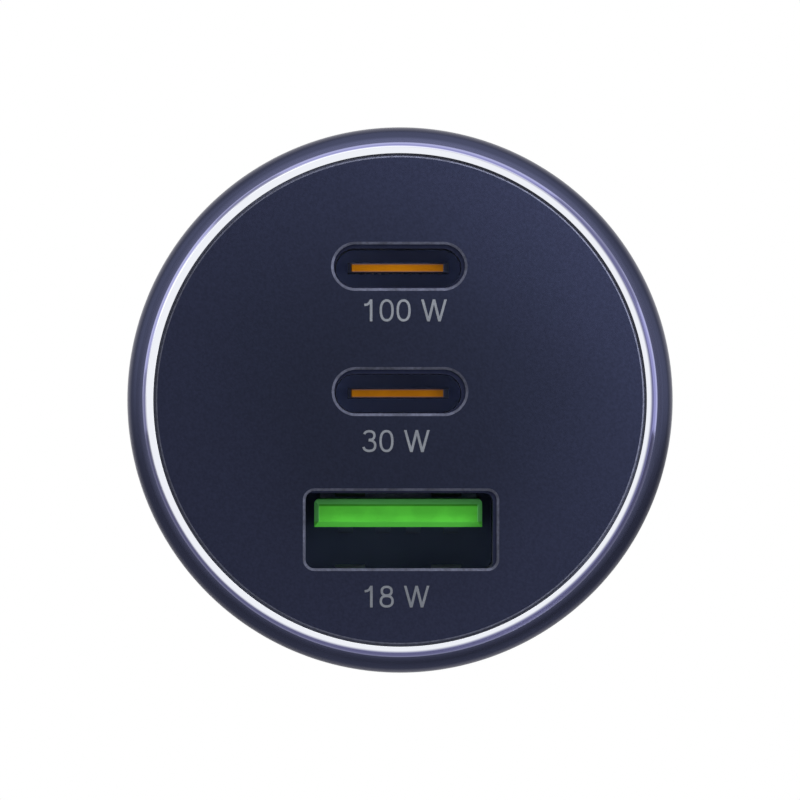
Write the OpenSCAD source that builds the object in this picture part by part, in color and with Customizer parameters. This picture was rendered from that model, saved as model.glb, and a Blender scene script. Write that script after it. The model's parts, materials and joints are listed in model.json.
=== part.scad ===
// Car USB charger plug: a round metal head with two USB-C ports and one USB-A port, on a barrel
// for a 12 V accessory socket. All lengths are in millimetres.
// The pieces are drawn with the axis upright: x to the right of the face, y up the face, and z out of
// the face, with z = 0 at the shoulder that meets the socket's rim. laid_level() then turns the plug
// so that its face looks along -Y and its tip points along +Y.

/* [Head] */
// Outer diameter of the head
head_d = 36; // [35:0.5:40]
// Length of the head, from the socket's rim to its front
head_len = 34; // [32:0.5:40]
// Width of the rim round the face plate
rim_w = 1.7; // [1.6:0.05:1.9]
// Width of the ledge that the face plate sits on
ledge_w = 0.5; // [0.4:0.05:0.7]
// Rounding of the rim's outer edge
rim_round = 1; // [0.7:0.05:1.1]
// Width of the bright-cut ring on the rim
bright_w = 0.73; // [0.5:0.01:0.8]
// Width of the flat land on top of the bright-cut ring
bright_land = 0.45; // [0.3:0.01:0.48]
// Height of the bright-cut ring
bright_h = 0.18; // [0.1:0.01:0.25]
// Rounding between the head's side and its rear cone
rear_round = 8; // [6:0.5:9]
// Slope of the rear cone from the axis, in degrees
rear_angle = 35; // [30:1:38]
// Diameter of the neck that meets the socket's rim
neck_d = 24; // [23.5:0.1:24.5]
// Bevel at the neck's edge
neck_bevel = 0.4; // [0.2:0.05:0.5]
// Thickness of the floor inside the neck
floor_t = 4; // [3.8:0.1:5]

/* [Face plate] */
// Gap between the face plate and the rim
plate_gap = 0.15; // [0.1:0.01:0.2]
// Depth of the face plate below the rim
plate_drop = 0.1; // [0:0.05:0.3]
// Thickness of the face plate
plate_t = 2; // [1.8:0.1:2.6]
// Bevel round the face plate
plate_bevel = 0.12; // [0.08:0.01:0.2]
// How far the land below the face plate's edge stands out
plate_land = 0.09; // [0.05:0.01:0.09]
// Depth of the groove between the face plate's edge and the rim
plate_groove = 0.3; // [0.2:0.05:0.6]
// Thickness of the lip in front of each port
lip_t = 0.8; // [0.6:0.05:1]
// Bevel round each opening
port_bevel = 0.18; // [0.1:0.01:0.25]
// Wall of the skirt behind the face plate
skirt_t = 0.9; // [0.7:0.05:1.1]
// Length of the skirt behind the face plate
skirt_len = 3.4; // [2.8:0.1:4]
// Height of the bead that snaps into the head
snap_h = 0.2; // [0.1:0.01:0.25]
// Number of snap fingers on the skirt
snap_fingers = 6; // [4:1:8]
// Width of the slits between the snap fingers
slit_w = 1.2; // [0.8:0.1:2]

/* [USB-C ports] */
// Height of the upper USB-C port above the axis
usb_c_upper_y = 8.86; // [8.4:0.02:9.1]
// Height of the lower USB-C port above the axis
usb_c_lower_y = 0.58; // [0:0.02:1]
// Length of the opening in the face plate
usb_c_open_l = 8.75; // [8.6:0.01:8.9]
// Width of the opening in the face plate
usb_c_open_w = 3; // [2.8:0.01:3.1]
// Length of the shell
usb_c_l = 8.94; // [8.9:0.01:9.1]
// Width of the shell
usb_c_w = 3.16; // [3.1:0.01:3.3]
// Width of the tongue
usb_c_tongue_w = 6.69; // [6.6:0.01:6.8]
// Thickness of the tongue
usb_c_tongue_t = 0.7; // [0.6:0.01:0.8]
// Depth of the tongue's tip inside the mouth
usb_c_tip_depth = 0.55; // [0.4:0.05:0.9]
// Height of the moulded body inside the shell
usb_c_body_h = 4; // [3:0.1:5]
// Contacts on each side of the tongue
usb_c_contacts = 12; // [4:1:12]
// Distance from one contact to the next
usb_c_pitch = 0.5; // [0.48:0.01:0.52]
// Width of a contact
usb_c_contact_w = 0.25; // [0.2:0.01:0.3]

/* [USB-A port] */
// Gap between the corners of the USB-A receptacle and the skirt
usb_a_margin = 1.44; // [1.3:0.01:1.7]
// Length of the opening in the face plate
usb_a_open_l = 12.65; // [12.5:0.01:12.8]
// Width of the opening in the face plate
usb_a_open_w = 5.15; // [5:0.01:5.3]
// Corner radius of the opening
usb_a_open_r = 0.6; // [0.4:0.05:0.8]
// Length of the shell
usb_a_l = 13.1; // [13:0.01:13.3]
// Width of the shell
usb_a_w = 5.72; // [5.6:0.01:5.9]
// Corner radius of the shell
usb_a_r = 0.9; // [0.7:0.05:1.1]
// Width of the tongue
usb_a_tongue_w = 11.1; // [10.9:0.01:11.3]
// Thickness of the tongue
usb_a_tongue_t = 1.84; // [1.7:0.01:2]
// Rounding of the tongue's two upper edges
usb_a_tongue_r = 0.3; // [0.1:0.05:0.5]
// Gap between the tongue and the shell above it
usb_a_tongue_gap = 0.42; // [0.38:0.01:0.7]
// Depth of the tongue's tip inside the mouth
usb_a_tip_depth = 0.6; // [0.4:0.05:1]
// Height of the moulded body inside the shell
usb_a_body_h = 2.2; // [1.5:0.1:3]
// Distance from an outer contact to the next one
usb_a_outer_pitch = 2.5; // [2.4:0.05:2.6]
// Distance between the two inner contacts
usb_a_inner_pitch = 2; // [1.9:0.05:2.1]
// Width of a contact
usb_a_contact_w = 1; // [0.8:0.05:1.2]
// How far a contact bows out of the tongue
usb_a_contact_bow = 0.45; // [0.3:0.05:0.6]

/* [Both kinds of port] */
// Height of the receptacles, from the port board to their mouths
port_h = 10.5; // [10:0.1:11.5]
// Thickness of the receptacles' steel
port_steel = 0.3; // [0.25:0.01:0.35]
// Clearance between a receptacle and its pocket in the face plate
pocket_gap = 0.2; // [0.18:0.01:0.25]
// How far the receptacles sit to the left of their openings
port_shift_x = 0.12; // [0:0.01:0.15]
// How far the receptacles sit below their openings
port_shift_y = 0.14; // [0:0.01:0.15]
// Width of a receptacle's leg
leg_w = 1.1; // [0.8:0.05:1.3]
// How far a leg stands out behind the port board
leg_out = 0.5; // [0.3:0.05:0.8]

/* [Boards] */
// Thickness of both boards
board_t = 1.6; // [1.5:0.05:1.7]
// Clearance round the port board
board_gap = 0.2; // [0.15:0.01:0.3]
// Clearance round whatever passes through a board
slot_gap = 0.1; // [0.08:0.01:0.15]
// Gap between the main board's edges and the carrier
main_gap = 1.1; // [1:0.05:1.6]
// Width of the main board where it stands on the barrel's flange
main_foot_w = 21.6; // [21:0.1:21.6]
// Width of the main board in the barrel
main_tail_w = 17; // [16:0.1:17.2]
// Height over which the main board widens
main_flare_h = 2.8; // [2.6:0.1:4]
// How far the main board's tabs stand in front of the port board
tab_out = 0.6; // [0.4:0.05:1]
// Gap between a tab and the receptacles above and below it
tab_gap = 1.05; // [0.9:0.05:1.3]
// Wall of the carrier beside the port board
carrier_thin = 0.6; // [0.5:0.05:0.8]
// Wall of the carrier behind the port board
carrier_wall = 1.3; // [1.1:0.05:1.4]
// Clearance between the carrier and the head
carrier_gap = 0.2; // [0.15:0.01:0.3]
// Thickness of the carrier's foot
carrier_foot = 1; // [0.8:0.1:1.2]
// Thickness of the ribs that guide the main board
rib_t = 1.2; // [0.8:0.1:1.6]
// Depth of the ribs that guide the main board
rib_depth = 2; // [1.6:0.1:2.2]

/* [Barrel] */
// Diameter of the barrel's collar, which centres the plug in the socket
barrel_d = 20.8; // [20.6:0.01:20.9]
// Length of the collar
collar_len = 7; // [6:0.1:7.2]
// How far the rest of the barrel is relieved below the collar
barrel_relief = 0.2; // [0.17:0.01:0.25]
// Clearance between the barrel and the neck
neck_gap = 0.1; // [0.08:0.01:0.15]
// Bore of the barrel
barrel_bore = 18.4; // [18:0.1:18.6]
// Length of the barrel's outer wall, from the shoulder to the nose cap
barrel_len = 30; // [29.5:0.1:34]
// Diameter of the flange inside the head
flange_d = 23.8; // [23:0.1:23.9]
// Thickness of the flange
flange_t = 2; // [1.6:0.1:3]
// Distance from the partition to the end of the barrel's outer wall
chamber_len = 5; // [4.6:0.1:5.2]
// Thickness of the partition
partition_t = 1.2; // [1:0.1:1.6]
// Diameter of the spring chamber
chamber_d = 16.4; // [16:0.1:16.6]
// Outer diameter of the spigot inside the nose cap
spigot_d = 18.8; // [18.4:0.1:19]
// Length of the spigot
spigot_len = 4; // [3:0.1:4.5]

/* [Side contacts] */
// Thickness of the contact strip
strip_t = 0.4; // [0.3:0.01:0.45]
// Width of the contact strip
strip_w = 4.4; // [3.8:0.1:4.6]
// Gap between the strip and the edges of its window
window_gap = 0.3; // [0.25:0.05:0.5]
// Distance from the axis to the strip's flat back
strip_x = 8.85; // [8.6:0.01:8.88]
// Distance from the shoulder to the strip's hinge line
hinge_z = 2.5; // [2.2:0.1:3]
// Length of the strip's foot
foot_len = 5.5; // [5:0.1:5.6]
// Gap between the strip's tail and the partition
tail_clear = 1.4; // [1:0.1:2]
// Height of the bow
bow_h = 2.65; // [2.3:0.05:2.8]
// Fullness of the bow: higher is squarer
bow_power = 2.6; // [2:0.1:3.2]
// Length of the tail past the bow
tail_len = 1.6; // [1.2:0.1:1.8]
// Length of the tab at the top of the foot
foot_tab = 2.2; // [1.8:0.1:2.6]

/* [Tip] */
// Outer length of the nose cap
cap_len = 6.5; // [6:0.1:8]
// Rounding of the nose cap
cap_round = 2; // [1.5:0.1:2.4]
// Clearance round the spigot inside the nose cap
cap_gap = 0.05; // [0.03:0.01:0.1]
// Gap between the end of the spigot and the cap's end wall
cap_end_gap = 0.3; // [0.2:0.05:0.4]
// Diameter of the tip
tip_d = 8.6; // [8:0.1:9]
// Clearance round the tip in the nose cap
tip_gap = 0.2; // [0.15:0.01:0.3]
// How far the tip stands out of the nose cap
tip_out = 4; // [3.5:0.1:5]
// Rounding of the tip's end
tip_round = 1.5; // [1:0.1:2]
// Diameter of the tip's flange
tip_flange_d = 15.2; // [14.6:0.1:15.6]
// Thickness of the tip's flange
tip_flange_t = 1.2; // [1:0.1:1.3]
// Diameter of the guide behind the flange
tip_guide_d = 4.8; // [4:0.1:5]
// Length of the guide behind the flange
tip_guide_len = 2; // [1.5:0.1:2.2]
// Mean diameter of the spring
spring_d = 6.8; // [6.4:0.1:7.4]
// Thickness of the spring's wire
spring_wire = 0.5; // [0.4:0.05:0.55]
// Turns of the spring
spring_turns = 4.5; // [3.5:0.5:5]
// Diameter of the spring seat
seat_d = 15; // [14:0.1:15.4]
// Thickness of the spring seat
seat_t = 0.8; // [0.6:0.05:1]
// Height of the boss inside the spring
seat_boss_h = 0.6; // [0.4:0.05:0.8]
// Diameter of the stem through the partition
stem_d = 2.4; // [2:0.1:2.6]
// How far the stem stands above the partition
stem_out = 2.5; // [2:0.1:2.8]
// Clearance round the stem
stem_gap = 0.1; // [0.08:0.01:0.15]

/* [Components] */
// Width of bare board beside each power inductor
inductor_margin = 2.5; // [2.3:0.1:3]
// Height of a power inductor
inductor_h = 5; // [4:0.1:5.4]
// Gap between the two power inductors
inductor_apart = 1.4; // [1:0.1:1.8]
// Distance from the barrel's flange to the power inductors
inductor_up = 3.8; // [3.4:0.1:4.6]
// Diameter of an output capacitor
output_cap_d = 8; // [7:0.1:8.2]
// Gap between the output capacitors and the carrier, measured out from the board
output_cap_clear = 2.46; // [2.2:0.02:3]
// Diameter of the input capacitor
input_cap_d = 5; // [4:0.1:5.1]
// Distance from the main board's end to the input capacitor
input_cap_up = 7; // [6:0.1:8]
// Outer diameter of the choke's core
core_d = 7; // [6.6:0.1:7.1]
// Bore of the choke's core
core_bore = 3.8; // [3.7:0.1:4]
// Height of the choke's core
core_h = 2.2; // [2:0.1:2.3]
// Thickness of the choke's wire
choke_wire = 0.5; // [0.4:0.05:0.55]
// Turns of the choke's winding
choke_turns = 13; // [8:1:13]
// Width of a switching transistor
switch_w = 5; // [4.6:0.1:5.2]
// Length of a switching transistor
switch_l = 5.6; // [5:0.1:6]
// Height of a switching transistor
switch_h = 1; // [0.8:0.05:1.2]
// Side of a controller chip
chip_side = 4; // [3.4:0.1:4.2]
// Height of a controller chip
chip_h = 0.9; // [0.7:0.05:1]
// Thickness of the lead strips
lead_t = 0.3; // [0.25:0.01:0.35]
// Width of the lead strips
lead_w = 2.4; // [2:0.1:3]

/* [Hidden] */
$fn = 96;
// Overlap of a cutter past the face that it cuts
past = 0.5;
// Gap that keeps touching curved pieces apart
hair = 0.02;

// Head, from the front inwards
head_r = head_d / 2;
wall = rim_w + ledge_w;
face_bore_r = head_r - rim_w;
neck_r = neck_d / 2;
plate_top = head_len - plate_drop;
plate_back = plate_top - plate_t;
mouth_z = plate_top - lip_t;
board_top = mouth_z - port_h;
board_back = board_top - board_t;
skirt_end = plate_back - skirt_len;
skirt_gap = 0.12;
skirt_r = head_r - wall - skirt_gap;
usb_a_corner_r = skirt_r - skirt_t - usb_a_margin;
usb_a_reach = sqrt(pow(usb_a_corner_r, 2) - pow(usb_a_l / 2 + port_shift_x, 2));
usb_a_y = usb_a_w / 2 + port_shift_y - usb_a_reach;
snap_up = 0.9;
snap_z = skirt_end + snap_up;

// Barrel and tip
barrel_r = barrel_d / 2;
body_r = barrel_r - barrel_relief;
partition_z = barrel_len - chamber_len;
bow_len = partition_z - hinge_z - foot_len - tail_len - tail_clear;
flange_top = floor_t + flange_t;
window_top = -hinge_z - foot_len + window_gap;
window_end = -hinge_z - foot_len - bow_len - window_gap;
window_w = strip_w + 2 * window_gap;
cap_end = -barrel_len - cap_len;
cap_wall_z = -barrel_len - spigot_len - cap_end_gap;
flange_back = cap_wall_z + tip_flange_t;
seat_back = -partition_z - partition_t;
seat_face = seat_back - seat_t;

// Carrier and boards
carrier_inset = wall + carrier_gap;
carrier_r = head_r - carrier_inset;
carrier_bore_r = carrier_r - carrier_wall;
main_w = 2 * (carrier_bore_r - main_gap);
port_board_r = carrier_r - carrier_thin - board_gap;
carrier_top = skirt_end - carrier_gap;
tail_gap = 0.5;
tail_end = tail_gap - partition_z;
stem_top = stem_out - partition_z;
flare_z = flange_top + carrier_foot + carrier_gap;
function port_edge(y, half) = y - port_shift_y + half;
tabs = [
  [port_edge(usb_c_lower_y, usb_c_w / 2) + tab_gap, port_edge(usb_c_upper_y, -usb_c_w / 2) - tab_gap],
  [port_edge(usb_a_y, usb_a_w / 2) + tab_gap, port_edge(usb_c_lower_y, -usb_c_w / 2) - tab_gap]
];

// Turns the upright plug level, face along -Y
module laid_level() {
  rotate([90, 0, 0]) children();
}

// Moves its children to a receptacle's place behind the face plate
module at_port(y) {
  translate([-port_shift_x, y - port_shift_y, 0]) children();
}

// Straight strip outline: the path thickened by t, with mitred bends
function unit(v) = v / norm(v);
function normal(a, b) = [a.y - b.y, b.x - a.x] / norm(b - a);
function mitre(p, i, d) =
  let (last = len(p) - 1)
  let (before = i > 0 ? normal(p[i - 1], p[i]) : normal(p[0], p[1]))
  let (after = i < last ? normal(p[i], p[i + 1]) : before)
  let (sum = before + after)
  p[i] + d * 2 * sum / (sum * sum);
module strip(path, t) {
  steps = len(path) - 1;
  polygon(concat(
    [for (i = [0:steps]) mitre(path, i, t / 2)],
    [for (i = [0:steps]) mitre(path, steps - i, -t / 2)]
  ));
}

// Points along an arc, from one angle to another
function arc(centre, r, from, to, steps) =
  [for (i = [0:steps]) let (a = from + (to - from) * i / steps) centre + r * [cos(a), sin(a)]];

// Flat outline with rounded corners, as a stadium when r is half of w
module slot_outline(l, w, r) {
  tall = w > 2 * r;
  square([l - 2 * r, w], center = true);
  if (tall) square([l, w - 2 * r], center = true);
  for (sx = [-1, 1], sy = tall ? [-1, 1] : [0])
    translate([sx * (l / 2 - r), sy * (w / 2 - r)]) circle(r = r);
}

// Outline of a receptacle, grown all round by grow or shrunk where that is negative
module port_outline(l, w, r, grow) {
  slot_outline(l + 2 * grow, w + 2 * grow, r + grow);
}

// Cutter for an opening with a bevelled edge at z = 0, made of corners and straight stretches
module bevelled_opening(l, w, r, depth, bevel) {
  x = l / 2 - r;
  y = w / 2 - r;
  corner = [[0, -depth], [r, -depth], [r, -bevel], [r + bevel, 0], [r + bevel, past], [0, past]];
  for (sx = [0, 1], sy = [0, 1])
    mirror([sx, 0, 0]) mirror([0, sy, 0]) translate([x, y, 0])
      rotate_extrude(angle = 90) polygon(corner);
  rotate([90, 0, 90]) linear_extrude(2 * x, center = true) bevelled_section(w / 2, depth, bevel);
  if (y > 0)
    rotate([90, 0, 0]) linear_extrude(2 * y, center = true) bevelled_section(l / 2, depth, bevel);
}

// Section across a bevelled opening of half-width half
module bevelled_section(half, depth, bevel) {
  polygon([
    [-half, -depth], [half, -depth], [half, -bevel], [half + bevel, 0],
    [half + bevel, past], [-half - bevel, past], [-half - bevel, 0], [-half, -bevel]
  ]);
}

// Radius of the head's rear cone at height z, on the surface inset from the outside
function cone_r(z, inset) = neck_r + z * tan(rear_angle) - inset / cos(rear_angle);
arc_r = head_r - rear_round;
arc_end_r = arc_r + rear_round * cos(rear_angle);
arc_z = (arc_end_r - neck_r) / tan(rear_angle) + rear_round * sin(rear_angle);

// Half section of the head between two heights, inset from the outside. The parts of the union overlap.
module head_section(inset, low, high) {
  r = rear_round - inset;
  touch = [arc_r + r * cos(rear_angle), arc_z - r * sin(rear_angle)];
  spread = rear_angle + 20;
  over_z = arc_z + r / 2;
  intersection() {
    union() {
      translate([0, arc_z]) square([head_r - inset, head_len]);
      polygon([[0, low], [cone_r(low, inset), low], touch, [arc_r, arc_z], [arc_r, over_z], [0, over_z]]);
      intersection() {
        translate([arc_r, arc_z]) circle(r = r);
        translate([arc_r, arc_z])
          polygon(concat([[0, 0]], [for (a = [-spread, -rear_angle / 2, 20]) 2 * r * [cos(a), sin(a)]]));
      }
    }
    translate([0, low]) square([head_r, high - low]);
  }
}

// Turned head: rounded rim with the bright-cut ring, straight side, rear cone and neck
module housing_shell() {
  shoulder_z = head_len - bright_h;
  bore_r = head_r - wall;
  hole_r = barrel_r + neck_gap;
  edge_r = neck_r - neck_bevel;
  ring_r = face_bore_r + bright_w;
  color([0.17, 0.18, 0.25]) laid_level() rotate_extrude() difference() {
    union() {
      intersection() {
        head_section(0, 0, shoulder_z);
        union() {
          square([head_r, shoulder_z - rim_round]);
          square([head_r - rim_round, shoulder_z]);
          translate([head_r - rim_round, shoulder_z - rim_round]) circle(r = rim_round);
        }
      }
      polygon([
        [face_bore_r - past, shoulder_z - rim_round], [ring_r - rim_round / 2, shoulder_z - rim_round],
        [ring_r, shoulder_z], [face_bore_r + bright_land, head_len], [face_bore_r - past, head_len]
      ]);
    }
    translate([0, plate_back]) square([face_bore_r, head_len]);
    head_section(wall, floor_t, head_len);
    square(2 * [hole_r, floor_t + past], center = true);
    translate([bore_r, snap_z]) circle(r = snap_h + skirt_gap);
    polygon([[edge_r, 0], [neck_r + past, neck_bevel + past], [neck_r + past, -past], [edge_r, -past]]);
  }
}

// Moulded face plate with bevelled openings, pockets for the receptacles and a skirt of snap fingers
module face_plate() {
  r = face_bore_r - plate_gap;
  edge_z = plate_top - plate_bevel;
  land_r = r + plate_land;
  land_z = plate_top - plate_groove;
  slit_h = skirt_len - 0.2;
  color([0.15, 0.16, 0.22]) laid_level() difference() {
    rotate_extrude() {
      polygon([
        [0, plate_back], [land_r, plate_back], [land_r, land_z], [r, land_z], [r, edge_z],
        [r - plate_bevel, plate_top], [0, plate_top]
      ]);
      translate([skirt_r - skirt_t, skirt_end]) square([skirt_t, skirt_len + plate_t / 2]);
      translate([skirt_r, snap_z]) circle(r = snap_h);
    }
    for (y = [usb_c_upper_y, usb_c_lower_y]) {
      translate([0, y, plate_top])
        bevelled_opening(usb_c_open_l, usb_c_open_w, usb_c_open_w / 2, plate_t + past, port_bevel);
      at_pocket(y) port_outline(usb_c_l, usb_c_w, usb_c_w / 2, pocket_gap);
    }
    translate([0, usb_a_y, plate_top])
      bevelled_opening(usb_a_open_l, usb_a_open_w, usb_a_open_r, plate_t + past, port_bevel);
    at_pocket(usb_a_y) port_outline(usb_a_l, usb_a_w, usb_a_r, pocket_gap);
    for (i = [0:snap_fingers - 1])
      rotate(i * 360 / snap_fingers) translate([0, -slit_w / 2, skirt_end - past])
        cube([head_r, slit_w, slit_h + past]);
  }
}

// Cutter for the pocket behind an opening, from the mouth to the back of the plate
module at_pocket(y) {
  translate([-port_shift_x, y - port_shift_y, plate_back - past])
    linear_extrude(mouth_z - plate_back + past) children();
}

// Legs that go through the port board, at both ends of two opposite walls
module legs(x, y, size) {
  for (sx = [-1, 1], sy = [-1, 1])
    translate([sx * x, sy * y, board_back - leg_out])
      linear_extrude(board_t + leg_out) square(size, center = true);
}
c_leg_x = usb_c_l / 2 - usb_c_w / 2 - leg_w / 2;
c_leg_y = (usb_c_w - port_steel) / 2;
a_leg_x = (usb_a_l - port_steel) / 2;
a_leg_y = usb_a_w / 2 - usb_a_r - leg_w / 2;

module usb_c_legs(grow) {
  legs(c_leg_x, c_leg_y, [leg_w + grow, port_steel + grow]);
}

module usb_a_legs(grow) {
  legs(a_leg_x, a_leg_y, [port_steel + grow, leg_w + grow]);
}

// Stamped shell of a USB-C receptacle
module usb_c_shell(y) {
  color([0.16, 0.16, 0.2]) laid_level() at_port(y) {
    translate([0, 0, board_top]) linear_extrude(port_h) difference() {
      port_outline(usb_c_l, usb_c_w, usb_c_w / 2, 0);
      port_outline(usb_c_l, usb_c_w, usb_c_w / 2, -port_steel);
    }
    usb_c_legs(0);
  }
}

// Places of the contacts along a USB-C tongue
c_contact_t = 0.15;
c_contact_back = 0.8;
module usb_c_contact_rows() {
  middle = (usb_c_contacts - 1) / 2;
  y = (usb_c_tongue_t - c_contact_t) / 2;
  h = mouth_z - usb_c_tip_depth - c_contact_back - board_top;
  for (side = [-1, 1], i = [0:usb_c_contacts - 1])
    translate([(i - middle) * usb_c_pitch, side * y, board_top])
      linear_extrude(h) square([usb_c_contact_w, c_contact_t], center = true);
}

// Moulded tongue of a USB-C receptacle with the body that closes its shell
module usb_c_tongue(y) {
  tip_z = mouth_z - usb_c_tip_depth;
  half_t = usb_c_tongue_t / 2;
  half_w = usb_c_tongue_w / 2;
  nose = 0.3;
  nose_t = 0.09;
  color([0.85, 0.45, 0.05]) laid_level() at_port(y) difference() {
    union() {
      translate([0, 0, board_top]) linear_extrude(usb_c_body_h)
        port_outline(usb_c_l, usb_c_w, usb_c_w / 2, -port_steel - hair);
      intersection() {
        rotate([90, 0, 90]) linear_extrude(usb_c_tongue_w, center = true) polygon([
          [-half_t, board_top], [half_t, board_top], [half_t, tip_z - nose],
          [half_t - nose_t, tip_z], [nose_t - half_t, tip_z], [-half_t, tip_z - nose]
        ]);
        rotate([90, 0, 0]) linear_extrude(2 * usb_c_tongue_t, center = true) polygon([
          [-half_w, board_top], [half_w, board_top], [half_w, tip_z - nose],
          [half_w - nose, tip_z], [nose - half_w, tip_z], [-half_w, tip_z - nose]
        ]);
      }
    }
    usb_c_contact_rows();
  }
}

module usb_c_contacts(y) {
  color([0.85, 0.7, 0.4]) laid_level() at_port(y) usb_c_contact_rows();
}

module usb_c_upper_shell() { usb_c_shell(usb_c_upper_y); }
module usb_c_upper_tongue() { usb_c_tongue(usb_c_upper_y); }
module usb_c_upper_contacts() { usb_c_contacts(usb_c_upper_y); }
module usb_c_lower_shell() { usb_c_shell(usb_c_lower_y); }
module usb_c_lower_tongue() { usb_c_tongue(usb_c_lower_y); }
module usb_c_lower_contacts() { usb_c_contacts(usb_c_lower_y); }

// Stamped shell of the USB-A receptacle, with four leaf springs cut from its wide walls
leaf_x = 3.2;
leaf_w = 2;
leaf_len = 4.6;
leaf_slot = 0.4;
leaf_in = 0.3;
leaf_drop = 1.6;
leaf_top = mouth_z - leaf_drop;
module usb_a_shell() {
  wall_y = (usb_a_w - port_steel) / 2;
  color([0.16, 0.16, 0.2]) laid_level() at_port(usb_a_y) {
    difference() {
      translate([0, 0, board_top]) linear_extrude(port_h) difference() {
        port_outline(usb_a_l, usb_a_w, usb_a_r, 0);
        port_outline(usb_a_l, usb_a_w, usb_a_r, -port_steel);
      }
      for (sx = [-1, 1])
        translate([sx * leaf_x - leaf_w / 2 - leaf_slot, -usb_a_w, leaf_top - leaf_len - leaf_slot])
          cube([leaf_w + 2 * leaf_slot, 2 * usb_a_w, leaf_len + leaf_slot]);
    }
    for (x = [-leaf_x, leaf_x], sy = [0, 1])
      mirror([0, sy, 0]) translate([x, 0, 0]) rotate([90, 0, 90]) linear_extrude(leaf_w, center = true)
        strip([
          [wall_y, leaf_top + past], [wall_y, leaf_top], [wall_y - leaf_in, leaf_top - leaf_len]
        ], port_steel);
    usb_a_legs(0);
  }
}

// Path of a USB-A contact, from the board along the tongue's underside to its bowed end
a_tongue_y = usb_a_w / 2 - port_steel - usb_a_tongue_gap - usb_a_tongue_t;
a_contact_t = 0.2;
a_contact_back = 0.9;
a_contact_end = mouth_z - usb_a_tip_depth - a_contact_back;
a_bow_len = 3.6;
function a_contact_path() =
  let (y = a_tongue_y + a_contact_t / 2)
  let (steps = 10)
  concat(
    [[y, board_top]],
    [for (i = [0:steps]) let (s = i / steps)
      [y - usb_a_contact_bow * sin(180 * s), a_contact_end - a_bow_len * (1 - s)]]
  );
module usb_a_contact_rows() {
  inner = usb_a_inner_pitch / 2;
  for (x = [-inner - usb_a_outer_pitch, -inner, inner, inner + usb_a_outer_pitch])
    translate([x, 0, 0]) children();
}

// Moulded tongue of the USB-A receptacle with the body that closes its shell
module usb_a_tongue() {
  tip_z = mouth_z - usb_a_tip_depth;
  top_y = a_tongue_y + usb_a_tongue_t;
  half_w = usb_a_tongue_w / 2;
  nose_top = 0.46;
  nose_under = 0.36;
  nose_side = 0.3;
  nose_h = 0.5;
  groove_over = 0.15;
  color([0.3, 0.7, 0.22]) laid_level() at_port(usb_a_y) difference() {
    union() {
      translate([0, 0, board_top]) linear_extrude(usb_a_body_h)
        port_outline(usb_a_l, usb_a_w, usb_a_r, -port_steel - hair);
      intersection() {
        rotate([90, 0, 90]) linear_extrude(usb_a_tongue_w, center = true) polygon([
          [a_tongue_y, board_top], [top_y, board_top], [top_y, tip_z - nose_h],
          [top_y - nose_top, tip_z], [a_tongue_y + nose_under, tip_z], [a_tongue_y, tip_z - nose_h]
        ]);
        rotate([90, 0, 0]) linear_extrude(usb_a_l, center = true) polygon([
          [-half_w, board_top], [half_w, board_top], [half_w, tip_z - nose_h],
          [half_w - nose_side, tip_z], [nose_side - half_w, tip_z], [-half_w, tip_z - nose_h]
        ]);
        translate([0, top_y - usb_a_w / 2, board_top]) linear_extrude(tip_z - board_top + past)
          slot_outline(usb_a_tongue_w, usb_a_w, usb_a_tongue_r);
      }
    }
    usb_a_contact_rows() translate([-usb_a_contact_w / 2, a_tongue_y - past, board_top - past])
      cube([usb_a_contact_w, a_contact_t + past + hair, a_contact_end - board_top + past + groove_over]);
  }
}

module usb_a_contacts() {
  color([0.85, 0.7, 0.4]) laid_level() at_port(usb_a_y) usb_a_contact_rows()
    rotate([90, 0, 90]) linear_extrude(usb_a_contact_w, center = true) strip(a_contact_path(), a_contact_t);
}

// Round board behind the receptacles, slotted for their legs and the main board's tabs
module port_board() {
  color([0.05, 0.3, 0.2]) laid_level() difference() {
    translate([0, 0, board_back]) cylinder(h = board_t, r = port_board_r);
    for (y = [usb_c_upper_y, usb_c_lower_y])
      at_port(y) board_cut() usb_c_legs(2 * slot_gap);
    at_port(usb_a_y) board_cut() usb_a_legs(2 * slot_gap);
    for (tab = tabs)
      translate([-board_t / 2 - slot_gap, tab[0] - slot_gap, board_back - past])
        cube([board_t + 2 * slot_gap, tab[1] - tab[0] + 2 * slot_gap, board_t + 2 * past]);
  }
}

// Lengthens a cutter of legs so that it passes both faces of the port board
module board_cut() {
  for (dz = [-leg_out, leg_out])
    translate([0, 0, dz]) children();
}

// Long board along the axis, wide in the head and narrow in the barrel, forked round the stem
module main_board() {
  fork_gap = 0.6;
  fork_w = stem_d + 2 * fork_gap;
  fork_top = stem_top + lead_t + fork_gap;
  half = [
    [main_tail_w / 2, tail_end], [main_tail_w / 2, flange_top], [main_foot_w / 2, flange_top],
    [main_foot_w / 2, flare_z], [main_w / 2, flare_z + main_flare_h], [main_w / 2, board_back]
  ];
  color([0.05, 0.3, 0.2]) laid_level() rotate([90, 0, 90]) linear_extrude(board_t, center = true)
    difference() {
      union() {
        polygon(concat(half, [for (i = [len(half) - 1:-1:0]) [-half[i].x, half[i].y]]));
        for (tab = tabs)
          translate([tab[0], board_back - past]) square([tab[1] - tab[0], past + board_t + tab_out]);
      }
      translate([-fork_w / 2, tail_end - past]) square([fork_w, fork_top - tail_end + past]);
    }
}

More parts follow.
